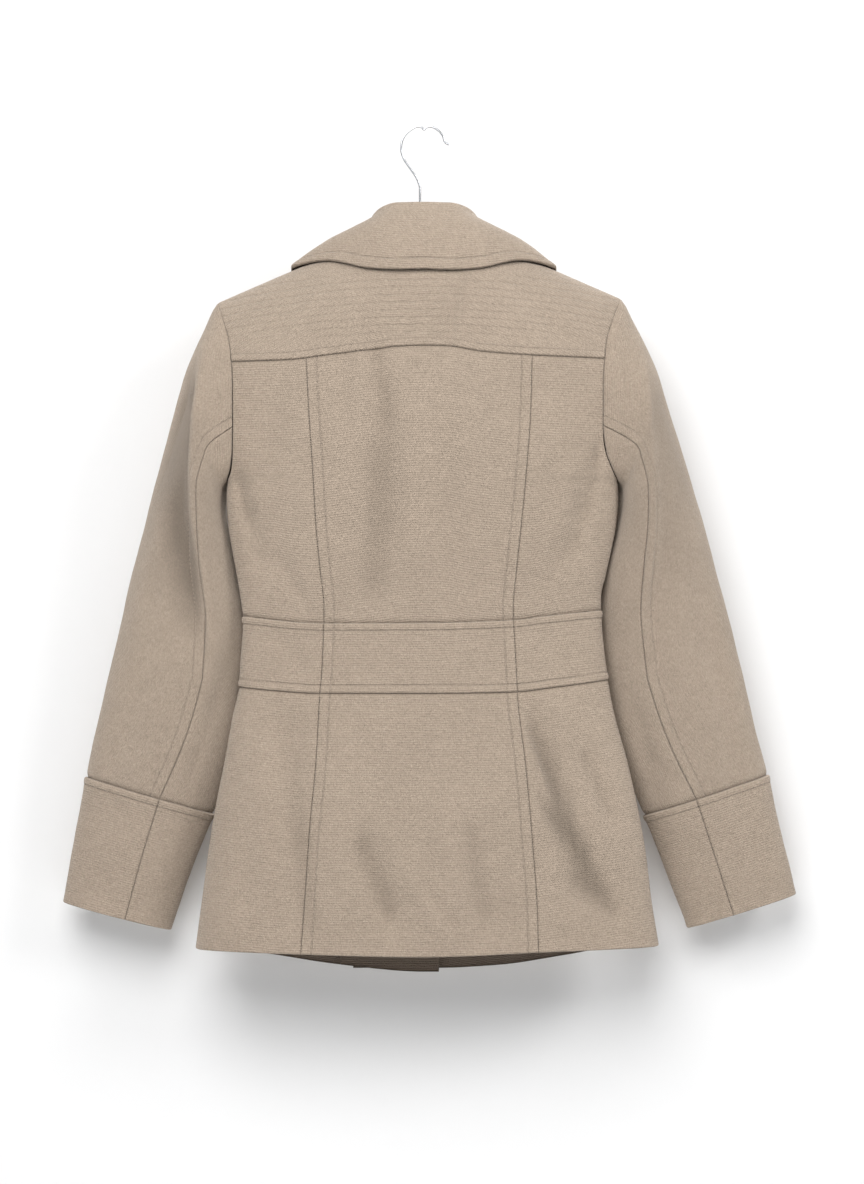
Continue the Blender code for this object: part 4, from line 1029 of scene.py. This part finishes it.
print("lapels and collar")
lapelMesh = {
    "left": (cuts(120, 4, True, False), cuts(90, 4, False, True)),
    "right": (cuts(200, 4), cuts(110, 4, False, True)),
}
lapelForms = {"left": ("edge", "open", None, "edge"), "right": ("edge", None, None, "edge")}
lapelRoll = lambda points: 1.6 * np.exp(-(((points[..., 2] + 180) / 60) ** 2))
for side, (along, out) in lapelMesh.items():
    clothPiece(f"lapel{side.capitalize()}", lapel(side), along, out, fromBody, lapelForms[side], lapelRoll,
               raised=clothMake["wall"] + clothMake["layerGap"] + 0.4)
stand, fold = np.linspace(0, 0.3, 12), np.linspace(0.3, 0.54, 22)
leaf = 0.54 + 0.46 * cuts(60, 4, False, True)
collarDrop = lambda points: np.clip((-95 - points[..., 2]) / 30, 0, 1)
collarWaves = lambda points: 0.8 * np.sin(points[..., 0] / 19 + 0.7) * collarDrop(points)
upwards = lambda points: np.array([0.0, 0.0, 1.0]) + 0 * points
clothPiece("coatCollar", collar, 2 * cuts(330, 4) - 1, np.concatenate([stand[:-1], fold[:-1], leaf]), upwards,
           ("edge", "edge", None, "edge"), collarWaves)

print("sleeves")
sleeveMake = {
    "gaps": (0.12, 0.12, -0.7, 0.12),  # the cap runs into the armhole
    "cuffRaised": 0.5,
    "widths": {"Under": 100, "Upper": 170},
    "columnStep": 3.2,
    "length": (470, 6),
    "cuffLength": 130,
}
underEnd = 2 * sleeveCut["underColumns"]
sleeveParts = {"Under": (0, underEnd), "Upper": (underEnd, underEnd + 2 * sleeveCut["upperColumns"])}
sleeveSeams = {"Under": ("seam", "seam"), "Upper": ("stitched", "seam")}
cuffRing, lastRing = sleeveCut["cuffRing"], sleeveCut["lastRing"]
for side in ("left", "right"):
    middles = np.array([[row[0] + row[2], 2 * row[4], row[1] + row[3]] for row in sleeveRings[side]]) / 2

    def fromArm(points, middles=middles):
        gap = points[..., None, :] - middles
        nearest = np.square(gap).sum(-1).argmin(-1)
        return np.take_along_axis(gap, nearest[..., None, None], axis=-2)[..., 0, :]

    for part, (first, last) in sleeveParts.items():
        columns = first + (last - first) * cuts(sleeveMake["widths"][part], sleeveMake["columnStep"])
        tag = part + side.capitalize()
        clothPiece(f"sleeve{tag}", sleeve(side), columns, cuffRing * cuts(*sleeveMake["length"]), fromArm,
                   (*sleeveSeams[part], "cap", "under"), sleeveRelief(side), gaps=sleeveMake["gaps"])
        cuffRows = cuffRing + (lastRing - cuffRing) * cuts(sleeveMake["cuffLength"])
        clothPiece(f"cuff{tag}", sleeve(side), columns, cuffRows, fromArm, ("seam", "seam", "lapped", "hem"),
                   sleeveRelief(side), raised=sleeveMake["cuffRaised"])

print("finishes")


def nodeIn(tree, kind, inputs=None, **settings):  # a node, its inputs set to values or linked to sockets
    node = tree.nodes.new(kind)
    for key, value in settings.items():
        setattr(node, key, value)
    for key, value in (inputs or {}).items():
        if isinstance(value, bpy.types.NodeSocket):
            tree.links.new(value, node.inputs[key])
        else:
            node.inputs[key].default_value = value
    return node


def maths(tree, operation, *terms, clamp=False):
    inputs = dict(enumerate(terms))
    return nodeIn(tree, "ShaderNodeMath", inputs, operation=operation, use_clamp=clamp).outputs[0]


def mixColour(tree, share, first, second):
    first, second = ((*c, 1) if isinstance(c, tuple) else c for c in (first, second))
    return nodeIn(tree, "ShaderNodeMix", {0: share, 6: first, 7: second}, data_type="RGBA").outputs[2]


def noiseAt(tree, vector, scale, detail=2.0, roughness=0.5, distortion=0.0):
    inputs = {"Vector": vector, "Scale": scale, "Detail": detail, "Roughness": roughness}
    return nodeIn(tree, "ShaderNodeTexNoise", {**inputs, "Distortion": distortion}).outputs[0]


def stretched(tree, vector, scale, turn=(0, 0, 0)):
    return nodeIn(tree, "ShaderNodeMapping", {"Vector": vector, "Scale": scale, "Rotation": turn}).outputs[0]


def bumped(tree, height, distance, strength=1.0):
    inputs = {"Height": height, "Distance": distance, "Strength": strength}
    return nodeIn(tree, "ShaderNodeBump", inputs).outputs[0]


def startGroup(name, inputs, outputs):
    group = bpy.data.node_groups.new(name, "ShaderNodeTree")
    for label, value in inputs.items():
        kind = "NodeSocketVector" if value is None else "NodeSocketFloat"
        socket = group.interface.new_socket(name=label, in_out="INPUT", socket_type=kind)
        if value is not None:
            socket.default_value = value
    for label in outputs:
        group.interface.new_socket(name=label, in_out="OUTPUT", socket_type="NodeSocketFloat")
    start = nodeIn(group, "NodeGroupInput")
    return group, *start.outputs[: len(inputs)]


def endGroup(group, **results):
    nodeIn(group, "NodeGroupOutput", results)
    return group


napLook = {
    "cloud": (16, 3, 0.55),  # scale, detail and roughness of each noise, and its distortion
    "patch": (95, 3, 0.6),
    "tuft": (520, 3, 0.65, 0.6),
    "fibre": (1300, 2, 0.6),
    "strand": (900, 2, 0.6),
    "strandShape": ((1.0, 0.28, 1.0), (0, 0, 0.35)),
    "rib": {"Scale": 134, "Distortion": 2.2, "Detail": 2, "Detail Scale": 0.5},
    "shadeShares": {"cloud": 0.3, "patch": 0.35, "tuft": 1.5, "strand": 1.3, "rib": 0.34},
    "heightShares": {"tuft": 0.55, "strand": 0.45, "fibre": 0.35, "rib": 0.5},
}


def makeWoolNap():  # felted nap over a close twill, with the mottling of a yarn-dyed melton
    group, place, cloth, twill, fuzz = startGroup(
        "woolNap", {"Place": None, "Cloth": None, "Twill": 0.5, "Fuzz": 1.0}, ("Shade", "Height"))
    noise = {name: noiseAt(group, place, *napLook[name]) for name in ("cloud", "patch", "tuft", "fibre")}
    noise["strand"] = noiseAt(group, stretched(group, cloth, *napLook["strandShape"]), *napLook["strand"])
    rib = nodeIn(group, "ShaderNodeTexWave", {"Vector": cloth, **napLook["rib"]}, wave_type="BANDS",
                 bands_direction="Y", wave_profile="SIN").outputs["Fac"]
    shares = napLook["shadeShares"]
    shade = 0.0
    for name in ("cloud", "patch", "tuft", "strand"):
        centred = maths(group, "MULTIPLY", maths(group, "SUBTRACT", noise[name], 0.5), shares[name])
        shade = maths(group, "ADD", shade, centred)
    ribShade = maths(group, "MULTIPLY", twill, shares["rib"])
    shade = maths(group, "MULTIPLY_ADD", maths(group, "SUBTRACT", rib, 0.5), ribShade, shade)
    shares = napLook["heightShares"]
    height = 0.0
    for name in ("tuft", "strand", "fibre"):
        height = maths(group, "MULTIPLY_ADD", noise[name], shares[name], height)
    height = maths(group, "MULTIPLY_ADD", rib, maths(group, "MULTIPLY", twill, shares["rib"]), height)
    return endGroup(group, Shade=shade, Height=maths(group, "MULTIPLY", height, fuzz))


padLook = {
    "spacing": 0.0076,
    "bend": 0.5,
    "wobble": (60, 0.0022),
    "sharpness": 5.0,
    "from": 0.217,  # below the hook, in metres
    "to": -0.138,
    "fade": 60.0,
    "breaks": (240, 1.2, 0.1),
}


def makePadRows():  # faint rows of padding stitches across a panel
    group, place, spacing = startGroup("padRows", {"Place": None, "Spacing": padLook["spacing"]}, ("Row",))
    x, _, z = nodeIn(group, "ShaderNodeSeparateXYZ", {0: place}).outputs
    bend = maths(group, "MULTIPLY", maths(group, "MULTIPLY", x, x), padLook["bend"])
    wobbleScale, wobbleSize = padLook["wobble"]
    wobble = maths(group, "MULTIPLY", noiseAt(group, place, wobbleScale), wobbleSize)
    phase = maths(group, "DIVIDE", maths(group, "ADD", maths(group, "ADD", z, bend), wobble), spacing)
    wave = maths(group, "SINE", maths(group, "MULTIPLY", phase, 2 * math.pi))
    dip = maths(group, "POWER", maths(group, "MULTIPLY_ADD", wave, 0.5, 0.5), padLook["sharpness"])
    low = maths(group, "MULTIPLY", maths(group, "ADD", z, padLook["from"]), padLook["fade"], clamp=True)
    high = maths(group, "MULTIPLY", maths(group, "SUBTRACT", padLook["to"], z), padLook["fade"], clamp=True)
    breakScale, breakShare, least = padLook["breaks"]
    broken = maths(group, "MULTIPLY_ADD", noiseAt(group, place, breakScale), breakShare, least)
    row = maths(group, "MULTIPLY", maths(group, "MULTIPLY", dip, broken), maths(group, "MULTIPLY", low, high))
    return endGroup(group, Row=row)


def makeSewnLines():  # the shallow channel that a row of stitches pulls into the cloth
    group, near, last, width = startGroup("sewnLines", {"Near": None, "Last": 99.0, "Width": 0.8}, ("Line",))
    lines = (*nodeIn(group, "ShaderNodeSeparateXYZ", {0: near}).outputs, last)
    away = [maths(group, "ABSOLUTE", d) for d in lines]
    nearest = maths(group, "MINIMUM", maths(group, "MINIMUM", *away[:2]), maths(group, "MINIMUM", *away[2:]))
    share = maths(group, "DIVIDE", nearest, width)
    falling = maths(group, "EXPONENT", maths(group, "MULTIPLY", maths(group, "MULTIPLY", share, share), -1.0))
    return endGroup(group, Line=falling)


woolNap, padRows, sewnLines = makeWoolNap(), makePadRows(), makeSewnLines()
woolLook = {
    "light": (0.415, 0.332, 0.259),
    "dark": (0.238, 0.190, 0.146),
    # a darker brown painted on the inner faces as shade inside the coat
    "inside": (0.155, 0.120, 0.092),
    "lightShare": 0.55,
    "twill": 0.5,
    "shaded": {  # share of a mask's tint, and the tint as the light or the dark colour times a number: painted shade in seam grooves and fold troughs, and a painted highlight on raised edges
        "seam": (0.5, "dark", 0.42),
        "paintedEdgeHighlight": (0.22, "light", 1.12),
        "paintedCreaseShade": (0.66, "dark", 0.62),
    },
    "sewn": (0.20, 0.5, -0.5),  # share and depth of the painted shade in each stitch channel, and height
    # padding rows: share and depth of the painted shade in each row's dip, and height
    "rows": (0.2, 0.8, -0.55),
    "bump": (0.0022, 0.8),
    "shader": {
        "Roughness": 0.93,
        "Specular IOR Level": 0.18,
        "Sheen Weight": 0.30,
        "Sheen Roughness": 0.55,
        "Sheen Tint": (0.95, 0.88, 0.80, 1),
    },
}


def plainMaterial(name, **inputs):
    material = bpy.data.materials.new(name)
    material.use_nodes = True
    tree = material.node_tree
    shader = tree.nodes["Principled BSDF"]
    for key, value in inputs.items():
        shader.inputs[key].default_value = value
    return material, tree, shader


def makeWool(name, rows=False):
    material, tree, shader = plainMaterial(name, **woolLook["shader"])
    where = nodeIn(tree, "ShaderNodeTexCoord")
    shareOf = lambda mask: nodeIn(tree, "ShaderNodeAttribute", attribute_name=mask).outputs["Fac"]
    tint = lambda of, times: tuple(c * times for c in woolLook[of])
    look = {"Place": where.outputs["Object"], "Cloth": where.outputs["UV"], "Twill": woolLook["twill"]}
    nap = nodeIn(tree, "ShaderNodeGroup", look, node_tree=woolNap)
    share = maths(tree, "ADD", nap.outputs["Shade"], woolLook["lightShare"], clamp=True)
    colour, height = mixColour(tree, share, woolLook["dark"], woolLook["light"]), nap.outputs["Height"]
    # paints shade into seam grooves and fold troughs, and a highlight along raised edges
    for mask, (strength, of, times) in woolLook["shaded"].items():
        colour = mixColour(tree, maths(tree, "MULTIPLY", shareOf(mask), strength), colour, tint(of, times))
    near = nodeIn(tree, "ShaderNodeAttribute", attribute_name="sewn").outputs
    distances = {"Near": near["Vector"], "Last": near["Alpha"]}
    sewn = nodeIn(tree, "ShaderNodeGroup", distances, node_tree=sewnLines)
    marks = [(sewn.outputs["Line"], *woolLook["sewn"])]
    if rows:
        padding = nodeIn(tree, "ShaderNodeGroup", {"Place": where.outputs["Object"]}, node_tree=padRows)
        # the rows' dips get painted shade as well as a bump
        marks.append((padding.outputs["Row"], *woolLook["rows"]))
    # paints shade into the stitch channels and padding rows, and sinks them
    for mark, strength, times, lift in marks:
        colour = mixColour(tree, maths(tree, "MULTIPLY", mark, strength), colour, tint("dark", times))
        height = maths(tree, "MULTIPLY_ADD", mark, lift, height)
    # painted shade on the inner faces and rims
    inside = maths(tree, "MULTIPLY", shareOf("inside"), 1.0, clamp=True)
    tree.links.new(mixColour(tree, inside, colour, woolLook["inside"]), shader.inputs["Base Color"])
    tree.links.new(bumped(tree, height, *woolLook["bump"]), shader.inputs["Normal"])
    return material


threadLook = {
    "colours": ((0.25, 0.195, 0.15), (0.40, 0.32, 0.25)),
    "grain": 900,
    "finish": {"Roughness": 0.7, "Sheen Weight": 0.2},
}


def makeThread():
    material, tree, shader = plainMaterial("woolThread", **threadLook["finish"])
    where = nodeIn(tree, "ShaderNodeTexCoord")
    grain = noiseAt(tree, where.outputs["Object"], threadLook["grain"])
    tree.links.new(mixColour(tree, grain, *threadLook["colours"]), shader.inputs["Base Color"])
    return material


chromeLook = {
    "colours": ((0.40, 0.41, 0.43), (0.72, 0.73, 0.75)),
    "wear": (420, 4, 0.7),
    "roughness": (0.22, 0.12),
}


def makeChrome():
    material, tree, shader = plainMaterial("hookChrome", Metallic=1.0)
    where = nodeIn(tree, "ShaderNodeTexCoord")
    wear = noiseAt(tree, where.outputs["Object"], *chromeLook["wear"])
    tree.links.new(maths(tree, "MULTIPLY_ADD", wear, *chromeLook["roughness"]), shader.inputs["Roughness"])
    tree.links.new(mixColour(tree, wear, *chromeLook["colours"]), shader.inputs["Base Color"])
    return material


hornLook = {
    "colours": ((0.035, 0.018, 0.010), (0.26, 0.165, 0.095)),
    "grain": (260, 5, 0.62, 1.4),
    "stretch": (1.0, 1.0, 0.22),
    "roughness": (0.24, 0.16),
    "coat": {"Coat Weight": 0.35, "Coat Roughness": 0.12},
}


def makeHorn():
    material, tree, shader = plainMaterial("hornButton", **hornLook["coat"])
    where = nodeIn(tree, "ShaderNodeTexCoord")
    grain = noiseAt(tree, stretched(tree, where.outputs["Object"], hornLook["stretch"]), *hornLook["grain"])
    tree.links.new(mixColour(tree, grain, *hornLook["colours"]), shader.inputs["Base Color"])
    tree.links.new(maths(tree, "MULTIPLY_ADD", grain, *hornLook["roughness"]), shader.inputs["Roughness"])
    return material


beechLook = {
    "colours": ((0.36, 0.22, 0.12), (0.68, 0.49, 0.31)),
    "grain": (480, 5, 0.6, 0.8),
    "fleck": (1700, 2, 0.5),
    "stretch": (0.12, 1.0, 1.0),
    "shares": {"grain": 0.8, "fleck": 0.3},
    "bump": 0.0002,
    "finish": {"Roughness": 0.42, "Coat Weight": 0.2},
}


def makeBeech():
    material, tree, shader = plainMaterial("barBeech", **beechLook["finish"])
    where = nodeIn(tree, "ShaderNodeTexCoord")
    along = stretched(tree, where.outputs["Object"], beechLook["stretch"])
    grain, fleck = noiseAt(tree, along, *beechLook["grain"]), noiseAt(tree, along, *beechLook["fleck"])
    share = maths(tree, "MULTIPLY", grain, beechLook["shares"]["grain"])
    share = maths(tree, "MULTIPLY_ADD", fleck, beechLook["shares"]["fleck"], share)
    tree.links.new(mixColour(tree, share, *beechLook["colours"]), shader.inputs["Base Color"])
    tree.links.new(bumped(tree, grain, beechLook["bump"]), shader.inputs["Normal"])
    return material


wool, woolYoke, thread = makeWool("coatWool"), makeWool("coatWoolPadded", rows=True), makeThread()
chrome, horn, beech = makeChrome(), makeHorn(), makeBeech()


print("stitches")
sides = ("Left", "Right")
backCentre = ("backCentreUpper", "bandCentre", "skirtCentre")
bands = ("bandCentre", "bandSideLeft", "bandSideRight")
sewnFlat, sewnLap, sewnEdge = (stitchInset[form] for form in ("stitched", "lapped", "edge"))
stitchPlan = {
    "stitchesBack": [(name, edge, sewnFlat) for name in backCentre for edge in ("left", "right")],
    "stitchesYoke": [("backYoke", "bottom", sewnLap)],
    "stitchesBand": [(name, edge, sewnLap) for name in bands for edge in ("top", "bottom")],
    "stitchesFront": [("frontRight", "right", sewnEdge), ("frontLeft", "right", sewnEdge)],
    "stitchesCollar": [
        ("coatCollar", "bottom", sewnEdge, 0.03, 0.97),
        ("coatCollar", "left", sewnEdge, 0.5, 0.88),
        ("coatCollar", "right", sewnEdge, 0.5, 0.88),
    ],
    "stitchesLapels": [(f"lapel{side}", edge, sewnEdge) for side in sides for edge in ("left", "bottom")],
    "stitchesSleeves": [(f"sleeveUpper{side}", "left", sewnFlat) for side in sides],
    "stitchesCuffs": [(f"cuff{part}{side}", "top", sewnLap) for part in ("Upper", "Under") for side in sides],
}
stitchPieces = {name: stitches(name, rows) for name, rows in stitchPlan.items()}


print("hanger and buttons")
hookShape = {
    "radius": 1.25,
    "rings": 110,
    "bevelSteps": 5,
    "route": [
        (4.0, -110.9), (4.0, -80.0), (4.0, -56.0), (6.5, -48.5), (14.0, -37.0), (20.5, -27.0),
        (22.9, -17.0), (20.5, -6.5), (13.5, 1.0), (4.8, 4.6), (1.6, 3.2), (0.0, 1.25),
        (-1.8, 3.2), (-5.2, 4.6), (-13.0, 1.6), (-19.0, -5.0), (-21.4, -11.5), (-25.0, -13.4),
    ],
}


def makeHook():  # one bent wire: a straight stem, then the curl, whose inner top rests on the rail
    route = np.array([(x, 0.0, z) for x, z in hookShape["route"]])
    lengths = np.concatenate([[0], np.cumsum(np.linalg.norm(np.diff(route, axis=0), axis=1))])
    steps = np.concatenate([lengths[:2], np.linspace(lengths[2], lengths[-1], hookShape["rings"])])
    bpy.ops.object.select_all(action="DESELECT")
    bpy.ops.curve.primitive_nurbs_path_add()
    wire = bpy.context.object
    wire.name = "wireHook"
    wire.data.splines.clear()
    spline = wire.data.splines.new("POLY")
    spline.points.add(len(steps) - 1)
    for spot, place in zip(spline.points, smoothThrough(lengths, route[:, None], steps) / 1000):
        spot.co = (*place, 1)
    wire.data.bevel_depth = hookShape["radius"] / 1000
    wire.data.bevel_resolution = hookShape["bevelSteps"]
    wire.data.use_fill_caps = True
    bpy.ops.object.convert(target="MESH")
    bpy.ops.object.shade_smooth_by_angle(angle=math.radians(50))
    bpy.ops.object.transform_apply(location=True, rotation=True, scale=True)
    return wire


wire = makeHook()

buttonShape = {
    "radius": 13.0,
    "thick": 3.2,
    "corners": 48,
    "rim": 2.4,
    "slope": 0.9,
    "dish": 1.0,
    "middle": (3.5, 0.25),  # width and depth of the last step
    "rounding": 0.55,
    "holeRadius": 1.15,
    "holeCorners": 14,
    "holeSpread": 2.7,
    "drill": 10,
    "above": 2.6,  # the button's back above the cloth's form
    "reach": 8,  # to each side, where the cloth's slope is measured
    "places": [  # x, z and how far the button sinks in
        ("edge1", 48, -362, 0),
        ("edge2", 48, -458, 0),
        ("edge3", 48, -554, 0),
        ("inner1", -41, -362, 0.4),
        ("inner2", -41, -458, 0),
        ("inner3", -41, -554, 0),
    ],
}
tieShape = {
    "radius": 0.42,
    "around": 6,
    "steps": 9,
    "lift": 0.75,
    "crossing": 0.25,
    "sunk": 0.4,
    "below": 1.25,
    "tail": 4.2,
    "stitches": (  # from hole to hole
        ((-1, -1), (1, 1)),
        ((-1, 1), (1, -1)),
        ((-1, -1), (-1, 1)),
        ((1, -1), (1, 1)),
    ),
}


def makeButton(name):  # turned disc with a raised rim, a dished middle and four holes
    size = {key: value / 1000 for key, value in buttonShape.items() if isinstance(value, (int, float))}
    bpy.ops.object.select_all(action="DESELECT")
    bpy.ops.mesh.primitive_cylinder_add(
        vertices=buttonShape["corners"], radius=size["radius"], depth=size["thick"])
    button = bpy.context.object
    button.name = name
    bpy.ops.object.mode_set(mode="EDIT")
    bpy.ops.mesh.select_all(action="DESELECT")
    bpy.ops.object.mode_set(mode="OBJECT")
    for face in button.data.polygons:
        face.select = face.normal.z > 0.9
    bpy.ops.object.mode_set(mode="EDIT")
    width, depth = buttonShape["middle"]
    bpy.ops.mesh.inset(thickness=size["rim"], depth=0)
    bpy.ops.mesh.inset(thickness=size["slope"], depth=-size["dish"])
    bpy.ops.mesh.inset(thickness=width / 1000, depth=-depth / 1000)
    bpy.ops.object.mode_set(mode="OBJECT")
    bevel = button.modifiers.new("rounding", "BEVEL")
    bevel.width, bevel.segments = size["rounding"], 3
    bevel.limit_method, bevel.angle_limit = "ANGLE", math.radians(35)
    bpy.ops.object.modifier_apply(modifier=bevel.name)
    for k in range(4):
        angle = math.pi / 4 + k * math.pi / 2
        x, y = size["holeSpread"] * math.cos(angle), size["holeSpread"] * math.sin(angle)
        bpy.ops.object.select_all(action="DESELECT")
        bpy.ops.mesh.primitive_cylinder_add(
            vertices=buttonShape["holeCorners"], radius=size["holeRadius"], depth=size["drill"],
            location=(x, y, 0))
        drill = bpy.context.object
        bpy.context.view_layer.objects.active = button
        hole = button.modifiers.new("hole", "BOOLEAN")
        hole.operation, hole.object, hole.solver = "DIFFERENCE", drill, "EXACT"
        bpy.ops.object.modifier_apply(modifier=hole.name)
        bpy.data.objects.remove(drill)
    return button


def placeTurned(piece, spot, axis):  # stands a piece made along +Z on a spot, its place baked into the mesh
    turn = Vector((0, 0, 1)).rotation_difference(Vector(axis)).to_matrix().to_4x4()
    piece.data.transform(Matrix.Translation(Vector(spot)) @ turn)
    piece.location, piece.rotation_euler = (0, 0, 0), (0, 0, 0)


def clothFace(x, z):  # the outer form of the lapped front
    return float(bodyY(x, z, -1, math.pi / 2) - lapLift(x, z))


def buttonSeat(x, z, sink):  # the middle of a button and the way that it faces
    reach = buttonShape["reach"]
    across = np.array([2.0 * reach, clothFace(x + reach, z) - clothFace(x - reach, z), 0.0])
    down = np.array([0.0, clothFace(x, z + reach) - clothFace(x, z - reach), 2.0 * reach])
    axis = np.cross(across, down)
    axis = axis * -np.sign(axis[1]) / np.linalg.norm(axis)
    above = buttonShape["above"] + buttonShape["thick"] / 2
    return np.array([x, clothFace(x, z) + sink, z]) + axis * above, axis


def makeTie(name, base, axis):  # the thread through a button's holes: a cross and two sides
    side = np.cross(axis, [0, 0, 1.0])
    side /= np.linalg.norm(side)
    up = np.cross(side, axis)
    spread, around = buttonShape["holeSpread"] * 0.7071, tieShape["around"]
    points, faces = [], []
    for (a, b), (c, d) in tieShape["stitches"]:
        crossing = tieShape["crossing"] if a * c < 0 and b * d < 0 and a == b else 0.0
        path = []
        for t in np.linspace(0, 1, tieShape["steps"]):
            lift = tieShape["lift"] * math.sin(math.pi * t) ** 0.6 + crossing - tieShape["sunk"]
            spot = base + side * spread * (a + (c - a) * t) + up * spread * (b + (d - b) * t)
            path.append(spot + axis * (buttonShape["thick"] / 2 - tieShape["below"] + lift))
        path = [path[0] - axis * tieShape["tail"], *path, path[-1] - axis * tieShape["tail"]]
        faces += tubeFaces(len(path), around, len(points))
        for k, spot in enumerate(path):
            ahead = path[min(k + 1, len(path) - 1)] - path[max(k - 1, 0)]
            ahead /= np.linalg.norm(ahead)
            one = np.cross(ahead, side + 0.3 * up)
            one /= np.linalg.norm(one)
            two = np.cross(ahead, one)
            ring = np.arange(around) * 2 * math.pi / around
            points += [spot + tieShape["radius"] * (one * math.cos(q) + two * math.sin(q)) for q in ring]
    return meshObject(name, points, faces)


buttonMaster = makeButton("buttonMaster")
buttons = {}
for label, x, z, sink in buttonShape["places"]:
    base, axis = buttonSeat(x, z, sink)
    button = buttonMaster.copy()
    button.data = buttonMaster.data.copy()
    button.name = "button" + label.capitalize()
    bpy.context.scene.collection.objects.link(button)
    placeTurned(button, base / 1000, axis)
    bpy.ops.object.select_all(action="DESELECT")
    bpy.context.view_layer.objects.active = button
    button.select_set(True)
    bpy.ops.object.shade_smooth_by_angle(angle=math.radians(35))
    buttons[label] = (button, makeTie("buttonThread" + label.capitalize(), base, axis))
bpy.data.objects.remove(buttonMaster)


print("putting the pieces on the frame")


def cadName(name):
    return {"coatCollar": "collar"}.get(name) or re.sub("([A-Z])", lambda m: "_" + m.group(1).lower(), name)


def dress(piece, material):
    piece.data.materials.clear()
    piece.data.materials.append(material)
    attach(piece, "root")


for name, piece in clothPieces.items():
    dress(piece["object"], woolYoke if name == "backYoke" else wool)
    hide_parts(cadName(name))
for made in stitchPieces.values():
    dress(made, thread)
for label, (button, tie) in buttons.items():
    dress(button, horn)
    dress(tie, thread)
    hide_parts("button_" + label[:-1] + "_" + label[-1])
dress(wire, chrome)
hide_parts("hanger_hook")
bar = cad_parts["hanger_bar"]
bar.data.materials.clear()
bar.data.materials.append(beech)

clothRest = {
    "allowance": 0.001,
    "hangsFrom": {"backYoke": "hanger_bar", "frontLeft": "hanger_bar", "frontRight": "hanger_bar"},
    "stitchedOn": {
        "backCentreUpper": "stitchesBack",
        "backYoke": "stitchesYoke",
        "bandCentre": "stitchesBand",
        "frontRight": "stitchesFront",
        "coatCollar": "stitchesCollar",
        "lapelRight": "stitchesLapels",
        "sleeveUpperLeft": "stitchesSleeves",
        "cuffUpperLeft": "stitchesCuffs",
    },
}
for name, piece in clothPieces.items():
    size = (piece["across"][-1].max(), piece["down"][:, -1].max())
    flat = tuple(round(float(length / 1000) + clothRest["allowance"], 3) for length in size)
    cell = np.cross(np.diff(piece["face"], axis=0)[:, :-1], np.diff(piece["face"], axis=1)[:-1])
    area = float(np.linalg.norm(cell, axis=-1).sum()) / 1e6
    area = round(min(area, 0.999 * flat[0] * flat[1]), 5)
    print(f"  {name}: {flat[0] * 1000:.0f} x {flat[1] * 1000:.0f} mm, {area * 1e4:.0f} cm2")


print("studio")
studio = {
    "white": (0.715, 0.715, 0.715, 1),
    "roughness": 0.9,
    "glow": 0.04,
    "backdrop": (9.0, (0, -0.08, -0.4)),  # size and place
    "floor": (14.0, (0, 0, -1.35)),
    "sky": ((0.97, 0.98, 1.0, 1), 0.22),
    "aim": (0, 0, -0.4),
    "lights": {  # size, power and place
        "topLight": (2.4, 112, (0.6, 2.5, 1.3)),
        "sideLight": (1.3, 58, (-2.7, 2.2, 1.3)),
        "frontLight": (1.6, 60, (-0.9, -2.4, 1.5)),
    },
    "camera": (-0.008, 4.0, -0.461),
    "lens": 121.6,
}


def makePaper(name, glow, seeThrough):
    material, tree, shader = plainMaterial(name, **{
        "Base Color": studio["white"],
        "Roughness": studio["roughness"],
        "Specular IOR Level": 0.0,
        "Emission Color": (1, 1, 1, 1),
        "Emission Strength": glow,
    })
    if seeThrough:
        away, path = nodeIn(tree, "ShaderNodeNewGeometry"), nodeIn(tree, "ShaderNodeLightPath")
        clear = nodeIn(tree, "ShaderNodeBsdfTransparent").outputs[0]
        share = maths(tree, "MAXIMUM", away.outputs["Backfacing"], path.outputs["Is Shadow Ray"])
        mix = nodeIn(tree, "ShaderNodeMixShader", {0: share, 1: shader.outputs[0], 2: clear})
        tree.links.new(mix.outputs[0], tree.nodes["Material Output"].inputs["Surface"])
    return material


def stagePlane(name, size, location, turn, material):
    bpy.ops.object.select_all(action="DESELECT")
    bpy.ops.mesh.primitive_plane_add(size=size, location=location, rotation=turn)
    plane = bpy.context.object
    plane.name = name
    plane.data.materials.append(material)


def softLight(name, size, power, location):
    data = bpy.data.lights.new(name, "AREA")
    data.shape, data.size, data.energy = "DISK", size, power
    lamp = bpy.data.objects.new(name, data)
    lamp.location = location
    lamp.rotation_euler = (Vector(studio["aim"]) - Vector(location)).to_track_quat("-Z", "Y").to_euler()
    bpy.context.scene.collection.objects.link(lamp)


backdropPaper = makePaper("backdropPaper", studio["glow"], True)
floorPaper = makePaper("floorPaper", 0.0, False)
stagePlane("backdrop", *studio["backdrop"], (-math.pi / 2, 0, 0), backdropPaper)
stagePlane("floor", *studio["floor"], (0, 0, 0), floorPaper)
world = bpy.data.worlds.new("room")
world.use_nodes = True
background = world.node_tree.nodes["Background"]
background.inputs[0].default_value, background.inputs[1].default_value = studio["sky"]
bpy.context.scene.world = world
bpy.context.scene.view_settings.view_transform = "Standard"
for name, light in studio["lights"].items():
    softLight(name, *light)

camera = bpy.data.cameras.new("studioCamera")
camera.sensor_width, camera.lens, camera.clip_end = 36.0, studio["lens"], 50.0
shooting = bpy.data.objects.new("studioCamera", camera)
shooting.location = studio["camera"]
shooting.rotation_euler = (math.pi / 2, 0, math.pi)
bpy.context.scene.collection.objects.link(shooting)
bpy.context.scene.camera = shooting
